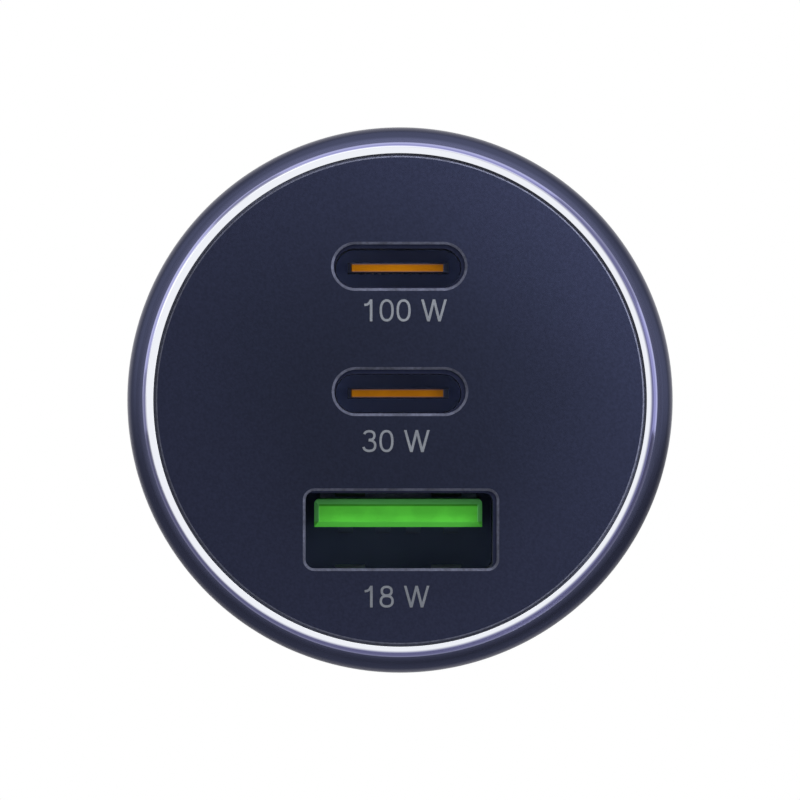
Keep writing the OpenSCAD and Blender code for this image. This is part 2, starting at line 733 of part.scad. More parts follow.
// Moulded liner that holds both boards inside the metal head
module board_carrier() {
  lower_inset = carrier_inset + carrier_wall;
  foot_r = main_foot_w / 2 + board_gap;
  rib_r = carrier_bore_r - rib_depth;
  rib_up = 0.4;
  rib_low = flare_z + main_flare_h + rib_up;
  slot = board_t / 2 + slot_gap;
  color([0.85, 0.85, 0.82]) laid_level() {
    rotate_extrude() difference() {
      head_section(carrier_inset, flange_top, carrier_top);
      head_section(lower_inset, flange_top + carrier_foot, board_back);
      translate([0, board_back]) square([carrier_r - carrier_thin, head_len]);
      translate([0, flange_top - past]) square([foot_r, carrier_foot + 2 * past]);
    }
    for (sx = [0, 1], sy = [0, 1])
      mirror([sx, 0, 0]) mirror([0, sy, 0]) intersection() {
        translate([slot, rib_r, rib_low]) cube([rib_t, head_r, board_back - rib_low]);
        rotate_extrude()
          head_section(lower_inset - carrier_wall / 2, flange_top + carrier_foot, board_back);
      }
  }
}

// Puts its children on a face of the main board: x along its width, y along the axis, z out of the face
module on_board(side, y, z) {
  mirror([side < 0 ? 1 : 0, 0, 0]) translate([board_t / 2, y, z]) rotate([90, 0, 90]) children();
}

// Moulded power inductor with its two terminals, in the space between the flange and the port board
inductor_drop = 1.2;
inductor_side = (main_w - inductor_apart) / 2 - inductor_margin;
inductor_len = board_back - inductor_drop - flange_top - inductor_up;
module inductor(y) {
  bevel = 0.8;
  x = inductor_side / 2;
  z = inductor_len / 2;
  terminal = [2.6, 1.1, 0.25];
  color([0.25, 0.25, 0.27]) laid_level() on_board(1, y, flange_top + inductor_up + z) {
    translate([0, 0, terminal.z]) linear_extrude(inductor_h - terminal.z) polygon([
      [-x, bevel - z], [bevel - x, -z], [x - bevel, -z], [x, bevel - z],
      [x, z - bevel], [x - bevel, z], [bevel - x, z], [-x, z - bevel]
    ]);
    for (low = [-z, z - terminal.y])
      translate([-terminal.x / 2, low, 0]) cube(terminal);
  }
}
inductor_y = (inductor_side + inductor_apart) / 2;
module inductor_upper() { inductor(inductor_y); }
module inductor_lower() { inductor(-inductor_y); }

// Output capacitor: a can with a rolled groove on a square base
module output_capacitor(y) {
  r = output_cap_d / 2;
  base_t = 0.9;
  corner = 1.2;
  groove_z = base_t + 0.7;
  groove = 0.3;
  slope = 0.2;
  z = board_back - output_cap_drop - base_half;
  color([0.75, 0.76, 0.78]) laid_level() on_board(-1, y, z) {
    linear_extrude(base_t) polygon([
      [-base_half, -base_half], [base_half, -base_half], [base_half, base_half - corner],
      [base_half - corner, base_half], [corner - base_half, base_half], [-base_half, base_half - corner]
    ]);
    rotate_extrude() polygon([
      [0, base_t], [r, base_t], [r, groove_z], [r - groove, groove_z + slope],
      [r - groove, groove_z + groove + slope], [r, groove_z + groove + 2 * slope],
      [r, output_cap_h - groove], [r - groove, output_cap_h], [0, output_cap_h]
    ]);
  }
}
base_margin = 0.15;
base_half = output_cap_d / 2 + base_margin;
output_cap_drop = 0.6;
output_caps_apart = 0.8;
output_cap_y = base_half + output_caps_apart / 2;
output_cap_edge = output_cap_y + output_cap_d / 2;
output_cap_tip = sqrt(pow(carrier_bore_r, 2) - pow(output_cap_edge, 2)) - output_cap_clear;
output_cap_h = output_cap_tip - board_t / 2;
module capacitor_upper() { output_capacitor(output_cap_y); }
module capacitor_lower() { output_capacitor(-output_cap_y); }

// Long input capacitor lying in the barrel, with its two wires bent down to the board
input_cap_y = 4.5;
input_cap_drop = 4;
module input_capacitor() {
  r = input_cap_d / 2;
  z = tail_end + input_cap_up;
  len = -hinge_z - input_cap_drop - z;
  lift = 0.1;
  edge = 0.3;
  groove_z = len - 1.6;
  groove = 0.2;
  wire_w = 0.5;
  wire_y = 1;
  wire_out = 1.2;
  color([0.2, 0.25, 0.35]) laid_level() translate([board_t / 2 + r + lift, input_cap_y, z]) {
    rotate_extrude() polygon([
      [0, 0], [r - edge, 0], [r, edge], [r, groove_z], [r - groove, groove_z + edge],
      [r - groove, groove_z + edge + groove], [r, groove_z + 2 * edge + groove], [r, len - edge],
      [r - edge, len], [0, len]
    ]);
    for (y = [-wire_y, wire_y])
      translate([0, y, 0]) rotate([90, 0, 0]) linear_extrude(wire_w, center = true)
        strip([[0, len - lift], [0, len + wire_out], [-r - lift, len + wire_out]], wire_w);
  }
}

// Ring core of the input choke
choke_y = -3.7;
choke_up = 11;
choke_z = tail_end + choke_up;
winding_gap = 0.06;
winding_a = (core_d - core_bore) / 4 * sqrt(2) + choke_wire / 2 + winding_gap;
winding_b = core_h / 2 * sqrt(2) + choke_wire / 2 + winding_gap;
winding_span = 320;
choke_off = 0.1;
choke_lift = winding_b + choke_wire / 2 + choke_off;
module choke_core() {
  color([0.35, 0.36, 0.34]) laid_level() on_board(1, choke_y, choke_z)
    translate([0, 0, choke_lift - core_h / 2]) difference() {
      cylinder(h = core_h, d = core_d);
      translate([0, 0, -past]) cylinder(h = core_h + 2 * past, d = core_bore);
    }
}

// Point of the winding's path, u = 0 to 1: round the ring once, and round its section choke_turns times
function winding_point(u) =
  let (turn = 360 * choke_turns * u)
  let (round_ring = winding_span * u + (360 - winding_span) / 2)
  let (r = (core_d + core_bore) / 4 + winding_a * cos(turn))
  [r * cos(round_ring), r * sin(round_ring), winding_b * sin(turn)];

// Tube of six sides swept along points, with closed ends
function ring(a, b, c, r, sides) =
  let (t = unit(c - a))
  let (up = abs(t.z) < 0.9 ? [0, 0, 1] : [1, 0, 0])
  let (u = unit(cross(t, up)))
  let (v = cross(t, u))
  [for (k = [0:sides - 1]) b + r * (u * cos(360 * k / sides) + v * sin(360 * k / sides))];
module tube(points, r, sides) {
  last = len(points) - 1;
  rings = [for (i = [0:last]) ring(points[max(i - 1, 0)], points[i], points[min(i + 1, last)], r, sides)];
  polyhedron(
    points = [for (one = rings, p = one) p],
    faces = concat(
      [[for (k = [0:sides - 1]) k]],
      [[for (k = [0:sides - 1]) last * sides + sides - 1 - k]],
      [for (i = [0:last - 1], k = [0:sides - 1]) let (n = (k + 1) % sides)
        [i * sides + k, (i + 1) * sides + k, (i + 1) * sides + n]],
      [for (i = [0:last - 1], k = [0:sides - 1]) let (n = (k + 1) % sides)
        [i * sides + k, (i + 1) * sides + n, i * sides + n]]
    )
  );
}

module choke_winding() {
  steps = choke_turns * 14;
  color([0.8, 0.4, 0.15]) laid_level() on_board(1, choke_y, choke_z) translate([0, 0, choke_lift])
    tube([for (i = [0:steps]) winding_point(i / steps)], choke_wire / 2, 6);
}

// Two switching transistors where the board enters the barrel
switches_apart = 1;
switch_drop = 0.8;
module power_switches() {
  body = [switch_w, switch_l, switch_h];
  y = (switch_w + switches_apart) / 2;
  color([0.12, 0.12, 0.13]) laid_level() for (side = [-1, 1])
    on_board(-1, side * y, flange_top - switch_drop - switch_l) package(body);
}

// Chip package: a slab on a row of four tabs along each end
module package(body) {
  tabs = 4;
  tab = [0.5, 0.4, 0.2];
  translate([-body.x / 2, 0, tab.z]) cube([body.x, body.y, body.z - tab.z]);
  for (y = [0, body.y - tab.y], i = [0:tabs - 1])
    translate([(i + 0.5) * body.x / tabs - (body.x + tab.x) / 2, y, 0]) cube(tab);
}

// Two controllers on the board's other face, opposite the switching transistors
chip_y = 4.1;
chip_drop = 1.2;
module controller_chips() {
  body = [chip_side, chip_side, chip_h];
  color([0.1, 0.1, 0.11]) laid_level() for (side = [-1, 1])
    on_board(1, side * chip_y, flange_top - chip_drop - chip_side) package(body);
}

// Surface fuse: a ceramic block between two metal ends
fuse_y = -3.4;
fuse_up = 5;
module fuse() {
  body = [2.4, 4, 2.4];
  end = [2.6, 1, 2.6];
  color([0.9, 0.9, 0.88]) laid_level() on_board(-1, fuse_y, tail_end + fuse_up) {
    translate([-body.x / 2, end.y, (end.z - body.z) / 2]) cube(body);
    for (y = [0, body.y + end.y])
      translate([-end.x / 2, y, 0]) cube(end);
  }
}

// Surge diode across the input, on a wide foot at each end
diode_y = 3.2;
diode_up = 6.5;
module surge_diode() {
  body = [3.6, 4.4, 2.2];
  foot = [2, 5.2, 0.25];
  color([0.12, 0.12, 0.13]) laid_level() on_board(-1, diode_y, tail_end + diode_up) {
    translate([-body.x / 2, (foot.y - body.y) / 2, foot.z]) cube([body.x, body.y, body.z - foot.z]);
    translate([-foot.x / 2, 0, 0]) cube(foot);
  }
}

// Strip from the main board's face over the end of the stem
module positive_lead() {
  leg = 6;
  face = (board_t + lead_t) / 2;
  bend_z = stem_top + lead_t / 2;
  color([0.75, 0.75, 0.72]) laid_level() rotate([90, 0, 0]) linear_extrude(lead_w, center = true)
    strip([[face, bend_z + leg], [face, bend_z], [-board_t / 2, bend_z]], lead_t);
}

// Strip from the main board's face to the underside of a side contact's tab
module ground_lead() {
  leg = 3;
  short = 0.45;
  face = (board_t + lead_t) / 2;
  top = -hinge_z - (strip_t + lead_t) / 2;
  reach = strip_x - strip_t - short;
  color([0.75, 0.75, 0.72]) laid_level() rotate([90, 0, 0]) linear_extrude(lead_w, center = true)
    strip([[reach, top], [face, top], [face, top - leg]], lead_t);
}
module ground_lead_right() { ground_lead(); }
module ground_lead_left() { mirror([1, 0, 0]) ground_lead(); }

// Moulded barrel: flange in the head, collar, windows for the side contacts, partition and spigot
module plug_barrel() {
  bore_r = barrel_bore / 2;
  chamber_r = chamber_d / 2;
  spigot_r = spigot_d / 2;
  spigot_end = -barrel_len - spigot_len;
  hole_r = stem_d / 2 + stem_gap;
  color([0.1, 0.1, 0.12]) laid_level() difference() {
    rotate_extrude() polygon([
      [bore_r, flange_top], [flange_d / 2, flange_top], [flange_d / 2, floor_t], [body_r, floor_t],
      [body_r, 0], [barrel_r, 0], [barrel_r, -collar_len], [body_r, -collar_len], [body_r, -barrel_len],
      [spigot_r, -barrel_len], [spigot_r, spigot_end], [chamber_r, spigot_end], [chamber_r, seat_back],
      [hole_r, seat_back], [hole_r, -partition_z], [bore_r, -partition_z]
    ]);
    for (sx = [0, 1])
      mirror([sx, 0, 0]) translate([bore_r / 2, -window_w / 2, window_end])
        cube([barrel_r, window_w, window_top - window_end]);
  }
}

// Bowed side contact in the plane of its section, right side
function bow(s) = strip_x - strip_t / 2 + bow_h * (1 - pow(abs(2 * s - 1), bow_power));
function contact_path() =
  let (x = strip_x - strip_t / 2)
  let (foot_z = -hinge_z - foot_len)
  let (bend = 0.5)
  let (tail_in = 0.1)
  let (steps = 20)
  concat(
    [[x - foot_tab, -hinge_z]],
    arc([x - bend, -hinge_z - bend], bend, 90, 0, 4),
    [for (i = [0:steps]) [bow(i / steps), foot_z - bow_len * i / steps]],
    [[x - tail_in, foot_z - bow_len - tail_len]]
  );
module ground_contact() {
  color([0.78, 0.78, 0.75]) laid_level() rotate([90, 0, 0]) linear_extrude(strip_w, center = true)
    strip(contact_path(), strip_t);
}
module ground_contact_right() { ground_contact(); }
module ground_contact_left() { mirror([1, 0, 0]) ground_contact(); }

// Moulded nose cap over the spigot, with a rounded end round the tip
module nose_cap() {
  hole_r = tip_d / 2 + tip_gap;
  inner_r = spigot_d / 2 + cap_gap;
  color([0.1, 0.1, 0.12]) laid_level() rotate_extrude() difference() {
    union() {
      translate([0, cap_end + cap_round]) square([body_r, cap_len - cap_round]);
      translate([0, cap_end]) square([body_r - cap_round, cap_len]);
      translate([body_r - cap_round, cap_end + cap_round]) circle(r = cap_round);
    }
    translate([0, cap_wall_z]) square([inner_r, cap_len]);
    translate([0, cap_end - past]) square([hole_r, cap_len]);
  }
}

// Turned tip: guide, flange, shank and rounded end
module tip_contact() {
  r = tip_d / 2;
  tip_end = cap_end - tip_out;
  color([0.8, 0.8, 0.78]) laid_level() rotate_extrude() {
    translate([0, flange_back]) square([tip_guide_d / 2, tip_guide_len]);
    translate([0, cap_wall_z]) square([tip_flange_d / 2, tip_flange_t]);
    translate([0, tip_end + tip_round]) square([r, flange_back - tip_end - tip_round]);
    translate([0, tip_end]) square([r - tip_round, tip_round * 2]);
    translate([r - tip_round, tip_end + tip_round]) intersection() {
      circle(r = tip_round);
      translate([0, -2 * tip_round]) square([2 * tip_round, 2 * tip_round]);
    }
  }
}

// Coil spring between the tip's flange and the spring seat
module tip_spring() {
  low = flange_back + spring_wire / 2 + hair;
  high = seat_face - spring_wire / 2 - hair;
  steps = spring_turns * 20;
  color([0.7, 0.7, 0.72]) laid_level() tube([
    for (i = [0:steps]) let (a = 360 * spring_turns * i / steps)
      [spring_d / 2 * cos(a), spring_d / 2 * sin(a), low + (high - low) * i / steps]
  ], spring_wire / 2, 6);
}

// Brass disc with a boss inside the spring and a stem through the partition
module spring_seat() {
  boss_gap = 0.3;
  boss_r = (spring_d - spring_wire) / 2 - boss_gap;
  boss_end = seat_face - seat_boss_h;
  color([0.8, 0.62, 0.3]) laid_level() rotate_extrude() polygon([
    [0, boss_end], [boss_r, boss_end], [boss_r, seat_face], [seat_d / 2, seat_face],
    [seat_d / 2, seat_back], [stem_d / 2, seat_back], [stem_d / 2, stem_top], [0, stem_top]
  ]);
}

housing_shell();
face_plate();
usb_c_upper_shell();
usb_c_upper_tongue();
usb_c_upper_contacts();
usb_c_lower_shell();
usb_c_lower_tongue();
usb_c_lower_contacts();
usb_a_shell();
usb_a_tongue();
usb_a_contacts();
port_board();
main_board();
board_carrier();
inductor_upper();
inductor_lower();
capacitor_upper();
capacitor_lower();
input_capacitor();
choke_core();
choke_winding();
power_switches();
controller_chips();
fuse();
surge_diode();
positive_lead();
ground_lead_left();
ground_lead_right();
plug_barrel();
ground_contact_left();
ground_contact_right();
nose_cap();
tip_contact();
tip_spring();
spring_seat();
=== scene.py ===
import json
import math

import bpy
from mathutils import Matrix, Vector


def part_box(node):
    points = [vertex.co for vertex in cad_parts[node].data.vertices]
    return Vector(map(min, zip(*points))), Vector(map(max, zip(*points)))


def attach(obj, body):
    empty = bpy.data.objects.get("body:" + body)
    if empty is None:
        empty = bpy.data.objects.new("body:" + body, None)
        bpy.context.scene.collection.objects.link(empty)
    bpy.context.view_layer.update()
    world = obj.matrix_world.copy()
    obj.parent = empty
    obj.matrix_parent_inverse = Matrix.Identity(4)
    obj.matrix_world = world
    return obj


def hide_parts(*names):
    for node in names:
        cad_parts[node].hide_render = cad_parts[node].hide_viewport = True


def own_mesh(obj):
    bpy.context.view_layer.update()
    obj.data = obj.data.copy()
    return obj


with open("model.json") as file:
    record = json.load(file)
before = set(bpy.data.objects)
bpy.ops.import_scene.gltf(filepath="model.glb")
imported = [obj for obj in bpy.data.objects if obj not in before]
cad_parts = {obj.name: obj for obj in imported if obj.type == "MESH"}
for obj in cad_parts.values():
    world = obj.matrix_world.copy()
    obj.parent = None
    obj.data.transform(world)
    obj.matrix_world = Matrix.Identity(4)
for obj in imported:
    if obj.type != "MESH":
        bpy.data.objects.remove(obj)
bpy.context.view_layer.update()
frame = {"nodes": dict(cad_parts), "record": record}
mm = 0.001
shellMiddle = -0.12  # the receptacles stand a little to the left in their openings, in mm
print("frame loaded with", len(frame["nodes"]), "nodes")


# Shader maths: a value wraps a socket, and + - * / ** and abs on values add Math nodes
class Value:
    def __init__(self, nodes, socket):
        self.nodes = nodes
        self.socket = socket

    def math(self, operation, *terms):
        sockets = dict(enumerate(terms))
        return self.nodes.node("ShaderNodeMath", {"operation": operation}, sockets)

    def __add__(self, other):
        return self.math("ADD", self, other)

    def __sub__(self, other):
        return self.math("SUBTRACT", self, other)

    def __rsub__(self, other):
        return self.math("SUBTRACT", other, self)

    def __mul__(self, other):
        return self.math("MULTIPLY", self, other)

    def __truediv__(self, other):
        return self.math("DIVIDE", self, other)

    def __pow__(self, other):
        return self.math("POWER", self, other)

    def __abs__(self):
        return self.math("ABSOLUTE", self)

    __radd__ = __add__
    __rmul__ = __mul__


# Nodes of one tree: a finish, the floor or the world
class Nodes:
    def __init__(self, tree):
        self.tree = tree

    # any node: its type, its settings, its input sockets by name or number, and which output to read
    def node(self, kind, settings, sockets, output=0):
        made = self.tree.nodes.new(kind)
        for key, value in settings.items():
            setattr(made, key, value)
        for key, value in sockets.items():
            if isinstance(value, Value):
                self.tree.links.new(value.socket, made.inputs[key])
            else:
                made.inputs[key].default_value = value
        return Value(self, made.outputs[output])

    def mixShaders(self, mask, first, second):
        return self.node("ShaderNodeMixShader", {}, {0: mask, 1: first, 2: second})

    def end(self, kind, value):
        self.tree.links.new(value.socket, self.tree.nodes.new(kind).inputs[0])

    def point(self):
        return self.node("ShaderNodeTexCoord", {}, {}, "Object")

    def axes(self):
        point = self.point()
        return [self.node("ShaderNodeSeparateXYZ", {}, {0: point}, i) for i in range(3)]

    # distance from the plug's axis, in millimetres
    def radius(self, x, z):
        return (x * x + z * z) ** 0.5 / mm

    def stretched(self, scale):
        return self.node("ShaderNodeMapping", {}, {"Vector": self.point(), "Scale": scale})

    def noise(self, scale, detail, vector=None):
        sockets = {"Vector": vector or self.point(), "Scale": scale, "Detail": detail}
        return self.node("ShaderNodeTexNoise", {}, sockets)

    # noise along one value alone, for turned and brushed lines
    def lines(self, along):
        settings = {"noise_dimensions": "1D"}
        return self.node("ShaderNodeTexNoise", settings, {"W": along, "Scale": 1.0, "Detail": 2.0})

    # a soft step from 0 at low to 1 at high
    def step(self, value, low, high):
        settings = {"interpolation_type": "SMOOTHSTEP"}
        sockets = {"Value": value, "From Min": low, "From Max": high}
        return self.node("ShaderNodeMapRange", settings, sockets)

    # one linear range to another
    def span(self, value, low, high, newLow, newHigh):
        sockets = {"Value": value, "From Min": low, "From Max": high, "To Min": newLow, "To Max": newHigh}
        return self.node("ShaderNodeMapRange", {}, sockets)

    def blend(self, mask, first, second):
        sockets = {0: mask, 6: paint(first), 7: paint(second)}
        return self.node("ShaderNodeMix", {"data_type": "RGBA"}, sockets, 2)

    # 0 inside and 1 outside an edge that is as soft as asked
    def edge(self, value, place, soft=0.03):
        return self.step(value, place - soft, place + soft)

    # two colours in slow patches
    def patchy(self, pattern, look, first, second, low=0.35, high=0.65):
        return self.blend(self.step(pattern, low, high), look[first], look[second])

    # roughness that a pattern moves round the gloss
    def rough(self, pattern, gloss, less, more):
        return self.span(pattern, 0.3, 0.7, gloss - less, gloss + more)


# A finish is one material on a Principled shader
class Finish(Nodes):
    def __init__(self, name, gloss, metal=0.0, coat=0.0, specular=0.5):
        self.material = bpy.data.materials.new(name)
        self.material.use_nodes = True
        super().__init__(self.material.node_tree)
        self.shader = self.tree.nodes["Principled BSDF"]
        self.shader.inputs["Metallic"].default_value = metal
        self.shader.inputs["Roughness"].default_value = gloss
        self.shader.inputs["Coat Weight"].default_value = coat
        self.shader.inputs["Specular IOR Level"].default_value = specular

    def feed(self, socket, value):
        self.tree.links.new(value.socket, self.shader.inputs[socket])

    # a base colour that the grain makes lighter and darker by the amount
    def feedSpeckled(self, base, grain, amount):
        shade = self.span(grain, 0.3, 0.7, 1 - amount, 1 + amount)
        scaled = self.node("ShaderNodeVectorMath", {"operation": "SCALE"}, {0: base, "Scale": shade})
        self.feed("Base Color", scaled)

    def bump(self, height, depth):
        self.feed("Normal", self.node("ShaderNodeBump", {}, {"Height": height, "Distance": depth}))


def paint(colour):
    return colour if isinstance(colour, Value) else (*colour, 1.0)


# A colour as a screen shows it, 0 to 255, as the linear light that Blender works in
def tone(red, green, blue):
    linear = []
    for part in (red, green, blue):
        part = part / 255
        linear.append(part / 12.92 if part < 0.04045 else ((part + 0.055) / 1.055) ** 2.4)
    return tuple(linear)


# Moulded plastic: a fine grain in the surface, a slow drift of colour and rubbed places that shine more
def mouldedPlastic(name, look):
    finish = Finish(name, gloss=look["gloss"], specular=look["specular"])
    drift = finish.noise(look["driftScale"], 3.0)
    grain = finish.noise(look["grainScale"], 2.0)
    finish.feedSpeckled(finish.patchy(drift, look, "colour", "worn"), grain, look["speckle"])
    finish.feed("Roughness", finish.rough(drift, look["gloss"], 0.05, 0.07))
    finish.bump(grain, look["grainDepth"])
    return finish.material


# Plated or bare metal: drawn lines along one axis, tarnish in slow patches
def platedMetal(name, look):
    finish = Finish(name, metal=1.0, gloss=look["gloss"])
    lines = finish.noise(look["lineScale"], 3.0, finish.stretched(look["grainWay"]))
    patches = finish.noise(look["patchScale"], 3.0)
    finish.feed("Base Color", finish.patchy(patches, look, "colour", "tarnish", high=0.75))
    rough = finish.rough(lines, look["gloss"], 0.06, 0.08)
    finish.feed("Roughness", rough + 0.08 * finish.step(patches, 0.5, 0.8))
    finish.bump(lines, look["lineDepth"])
    return finish.material


# The head: dark anodised with turned lines, and a bright-cut ring whose lilac shading and lighter line at
# its edge are painted reflections
headLook = {
    "dark": (0.0345, 0.0385, 0.070),
    "tint": (0.039, 0.0430, 0.078),
    "paintedSheen": (0.105, 0.112, 0.200),
    "worn": (0.10, 0.101, 0.142),
    "bright": (0.86, 0.88, 0.94),
    "paintedLilacShade": (0.15, 0.15, 0.30),
    "line": (0.23, 0.235, 0.39),
    "fade": (16.57, 16.76),
    "lineEdge": (16.82, 16.90),
    "cutEdge": (16.94, 17.0),
    "cutDepth": (0.20, 0.26),
    "paintedSheenEdge": (16.98, 17.40),
    "wearAndHighlightEdge": (17.68, 17.92),
    "frontEdge": (0.9, 1.3),
    "lineWidth": 0.07,
    "lineDepth": 0.003 * mm,
    "gloss": 0.30,
    "cutGloss": 0.09,
}


def anodisedHead():
    look = headLook
    finish = Finish("anodisedHead", metal=1.0, gloss=look["gloss"])
    x, y, z = finish.axes()
    radius = finish.radius(x, z)
    frontDepth = (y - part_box("housing_shell")[0].y) / mm
    # the bright cut is painted wider at the top left, a painted reflection, with random unevenness on top,
    # and ends in a painted highlight line
    uneven = finish.noise(140.0, 1.0)
    up = z / mm / radius
    unevenAndPaintedSkew = 0.06 * up - 0.08 * (x / mm / radius) + 0.08 * (uneven - 0.5)
    fade = finish.step(radius - unevenAndPaintedSkew, *look["fade"])
    # painted reflection: the cut shades from bright to lilac towards its edge
    ring = finish.blend(fade, look["bright"], look["paintedLilacShade"])
    # painted highlight: a lighter line near the cut's outer edge
    ring = finish.blend(finish.step(radius, *look["lineEdge"]), ring, look["line"])
    outside = finish.step(radius - 0.03 * up, *look["cutEdge"])
    cut = (1 - outside) * (1 - finish.step(frontDepth, *look["cutDepth"]))
    body = finish.patchy(finish.noise(90.0, 3.0), look, "dark", "tint", 0.3, 0.7)
    # a painted sheen beside the ring, painted strongest at the top, and a lighter edge where the front
    # meets the side, partly wear and partly a painted highlight
    front = 1 - finish.step(frontDepth, *look["frontEdge"])
    # painted light: a sheen beside the ring, strongest at the top
    paintedSheenMask = front * (1 - finish.step(radius, *look["paintedSheenEdge"])) * finish.span(up, -0.6, 1.0, 0.25, 1.0)
    body = finish.blend(paintedSheenMask, body, look["paintedSheen"])
    # partly wear, partly a painted highlight along the front rim
    body = finish.blend(front * finish.step(radius, *look["wearAndHighlightEdge"]), body, look["worn"])
    finish.feed("Base Color", finish.blend(cut, body, ring))
    turned = finish.lines(radius / look["lineWidth"]) + finish.lines(frontDepth / look["lineWidth"])
    polished = finish.step(turned, 0.6, 1.4)
    finish.feed("Roughness", (1 - cut) * (look["gloss"] - 0.05 + 0.12 * polished) + look["cutGloss"] * cut)
    finish.bump(turned * (1 - 0.95 * cut), look["lineDepth"])
    return finish.material


# The face plate's finish: satin and fine grained, with painted light that makes it a little lighter towards
# its edge
faceLook = {
    "middle": (0.0101, 0.0124, 0.0255),
    "rim": (0.0153, 0.0181, 0.0384),
    "wall": (0.011, 0.014, 0.030),
    "spread": (5.0, 16.5),
    "wallEdge": (-33.79, -33.75),
    "speckle": 0.12,
    "grainDepth": 0.008 * mm,
    "gloss": 0.60,
    "specular": 0.07,
}


def facePlastic():
    look = faceLook
    finish = Finish("facePlastic", gloss=look["gloss"], specular=look["specular"])
    x, y, z = finish.axes()
    drift = finish.noise(110.0, 4.0)
    grain = finish.noise(5200.0, 2.0)
    # painted light: the face grows lighter towards the plate's edge
    spread = finish.step(finish.radius(x, z) + 6 * (drift - 0.5), *look["spread"])
    base = finish.blend(spread, look["middle"], look["rim"])
    base = finish.blend(finish.step(y / mm, *look["wallEdge"]), base, look["wall"])
    finish.feedSpeckled(base, grain, look["speckle"])
    finish.feed("Roughness", finish.rough(drift, look["gloss"], 0.05, 0.07))
    finish.bump(grain, look["grainDepth"])
    return finish.material


# Bevels of the openings and of the plate's own edge painted a lighter grey, a painted highlight for the
# light they catch, with random worn patches on the openings' bevels; the land in the groove is lighter grey
# as painted light
edgeLook = {
    "opening": tone(73, 76, 93),
    "openingWorn": tone(58, 61, 76),
    "plate": tone(84, 87, 105),
    "land": tone(62, 65, 82),
    "plateHighlightEdge": (15.6, 15.8),
    "landPaintedLightEdge": (16.10, 16.12),
    "speckle": 0.28,
    "grainDepth": 0.006 * mm,
    "gloss": 0.5,
    "specular": 0.25,
}


def faceEdge():
    look = edgeLook
    finish = Finish("faceEdge", gloss=look["gloss"], specular=look["specular"])
    x, _, z = finish.axes()
    radius = finish.radius(x, z)
    grain = finish.noise(4200.0, 2.0)
    base = finish.patchy(finish.noise(900.0, 3.0), look, "opening", "openingWorn")
    # painted highlight: the plate's edge bevel lighter grey
    base = finish.blend(finish.step(radius, *look["plateHighlightEdge"]), base, look["plate"])
    # painted light: the land at the foot of the groove lighter grey
    base = finish.blend(finish.step(radius, *look["landPaintedLightEdge"]), base, look["land"])
    finish.feedSpeckled(base, grain, look["speckle"])
    finish.feed("Roughness", look["gloss"] - 0.08 + 0.16 * grain)
    finish.bump(grain, look["grainDepth"])
    return finish.material


# Printing ink of the ratings
inkLook = {
    "colour": tone(112, 116, 124),
    "worn": tone(102, 106, 114),
    "gloss": 0.6,
    "specular": 0.2,
    "driftScale": 900.0,
    "grainScale": 12000.0,
    "grainDepth": 0.002 * mm,
    "speckle": 0.12,
}


# Shells: plated steel inside, with their front edge painted dark as painted shade, so that it merges with
# the shaded opening
shellLook = {
    "inside": (0.36, 0.39, 0.46),
    "tarnish": (0.28, 0.30, 0.36),
    "front": (0.022, 0.026, 0.056),
    "frontDepth": (0.10, 0.45),
    "lineDepth": 0.002 * mm,
    "gloss": 0.38,
}


def portSteel():
    look = shellLook
    finish = Finish("portSteel", metal=1.0, gloss=look["gloss"])
    y = finish.axes()[1]
    lines = finish.noise(3000.0, 3.0, finish.stretched((1, 0.08, 1)))
    base = finish.patchy(finish.noise(300.0, 3.0), look, "inside", "tarnish", high=0.75)
    # painted shade on the shells' front edges
    front = 1 - finish.step((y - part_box("usb_a_shell")[0].y) / mm, *look["frontDepth"])
    finish.feed("Base Color", finish.blend(front, base, look["front"]))
    finish.feed("Roughness", finish.rough(lines, look["gloss"], 0.06, 0.08))
    finish.bump(lines, look["lineDepth"])
    return finish.material


# Tongues: coloured in front, on a grey-blue body at the back of the shell
tongueLook = {
    "orange": (0.365, 0.129, 0.0003),
    "orangeWorn": (0.315, 0.108, 0.0002),
    "orangeBase": (0.31, 0.39, 0.80),
    "green": (0.105, 0.655, 0.054),
    "greenWorn": (0.090, 0.570, 0.046),
    "greenBase": (0.082, 0.108, 0.20),
    "greenSlotPaintedLight": (0.66, 0.80, 1.0),
    "greenPaintedSheen": (0.20, 0.82, 0.20),
    "greenUnderPaintedLight": (0.135, 0.80, 0.085),
    "steelAndPaintedShade": (0.050, 0.060, 0.105),
    "orangeBodyPlace": -26.64,
    "orangeMiddle": -0.19,
    "orangeHeights": (8.72, 0.44),
    "orangeSide": 3.04,
    "orangeHalf": 0.235,
    "greenBodyPlace": -24.84,
    "greenSide": 5.22,
    "greenBevel": -6.88,
    "greenLower": -8.03,
    "slotFoot": -6.62,
    "grainDepth": 0.003 * mm,
    "gloss": 0.5,
    "specular": 0.10,
}


# Steel plate at both sides, darkened also as painted shade, and dark bands above and below that are painted
# shade on the tip's edges
def orangeParts(finish, look, base, x, z):
    side = finish.edge(abs(x / mm - look["orangeMiddle"]), look["orangeSide"])
    base = finish.blend(side, base, look["steelAndPaintedShade"])
    # painted shade: dark bands along the top and bottom of the tip
    upper, lower = (abs(z / mm - height) for height in look["orangeHeights"])
    height = upper.math("MINIMUM", upper, lower)
    base = finish.blend(finish.edge(height, look["orangeHalf"], 0.075), base, look["steelAndPaintedShade"])
    return base, look["orangeBase"]


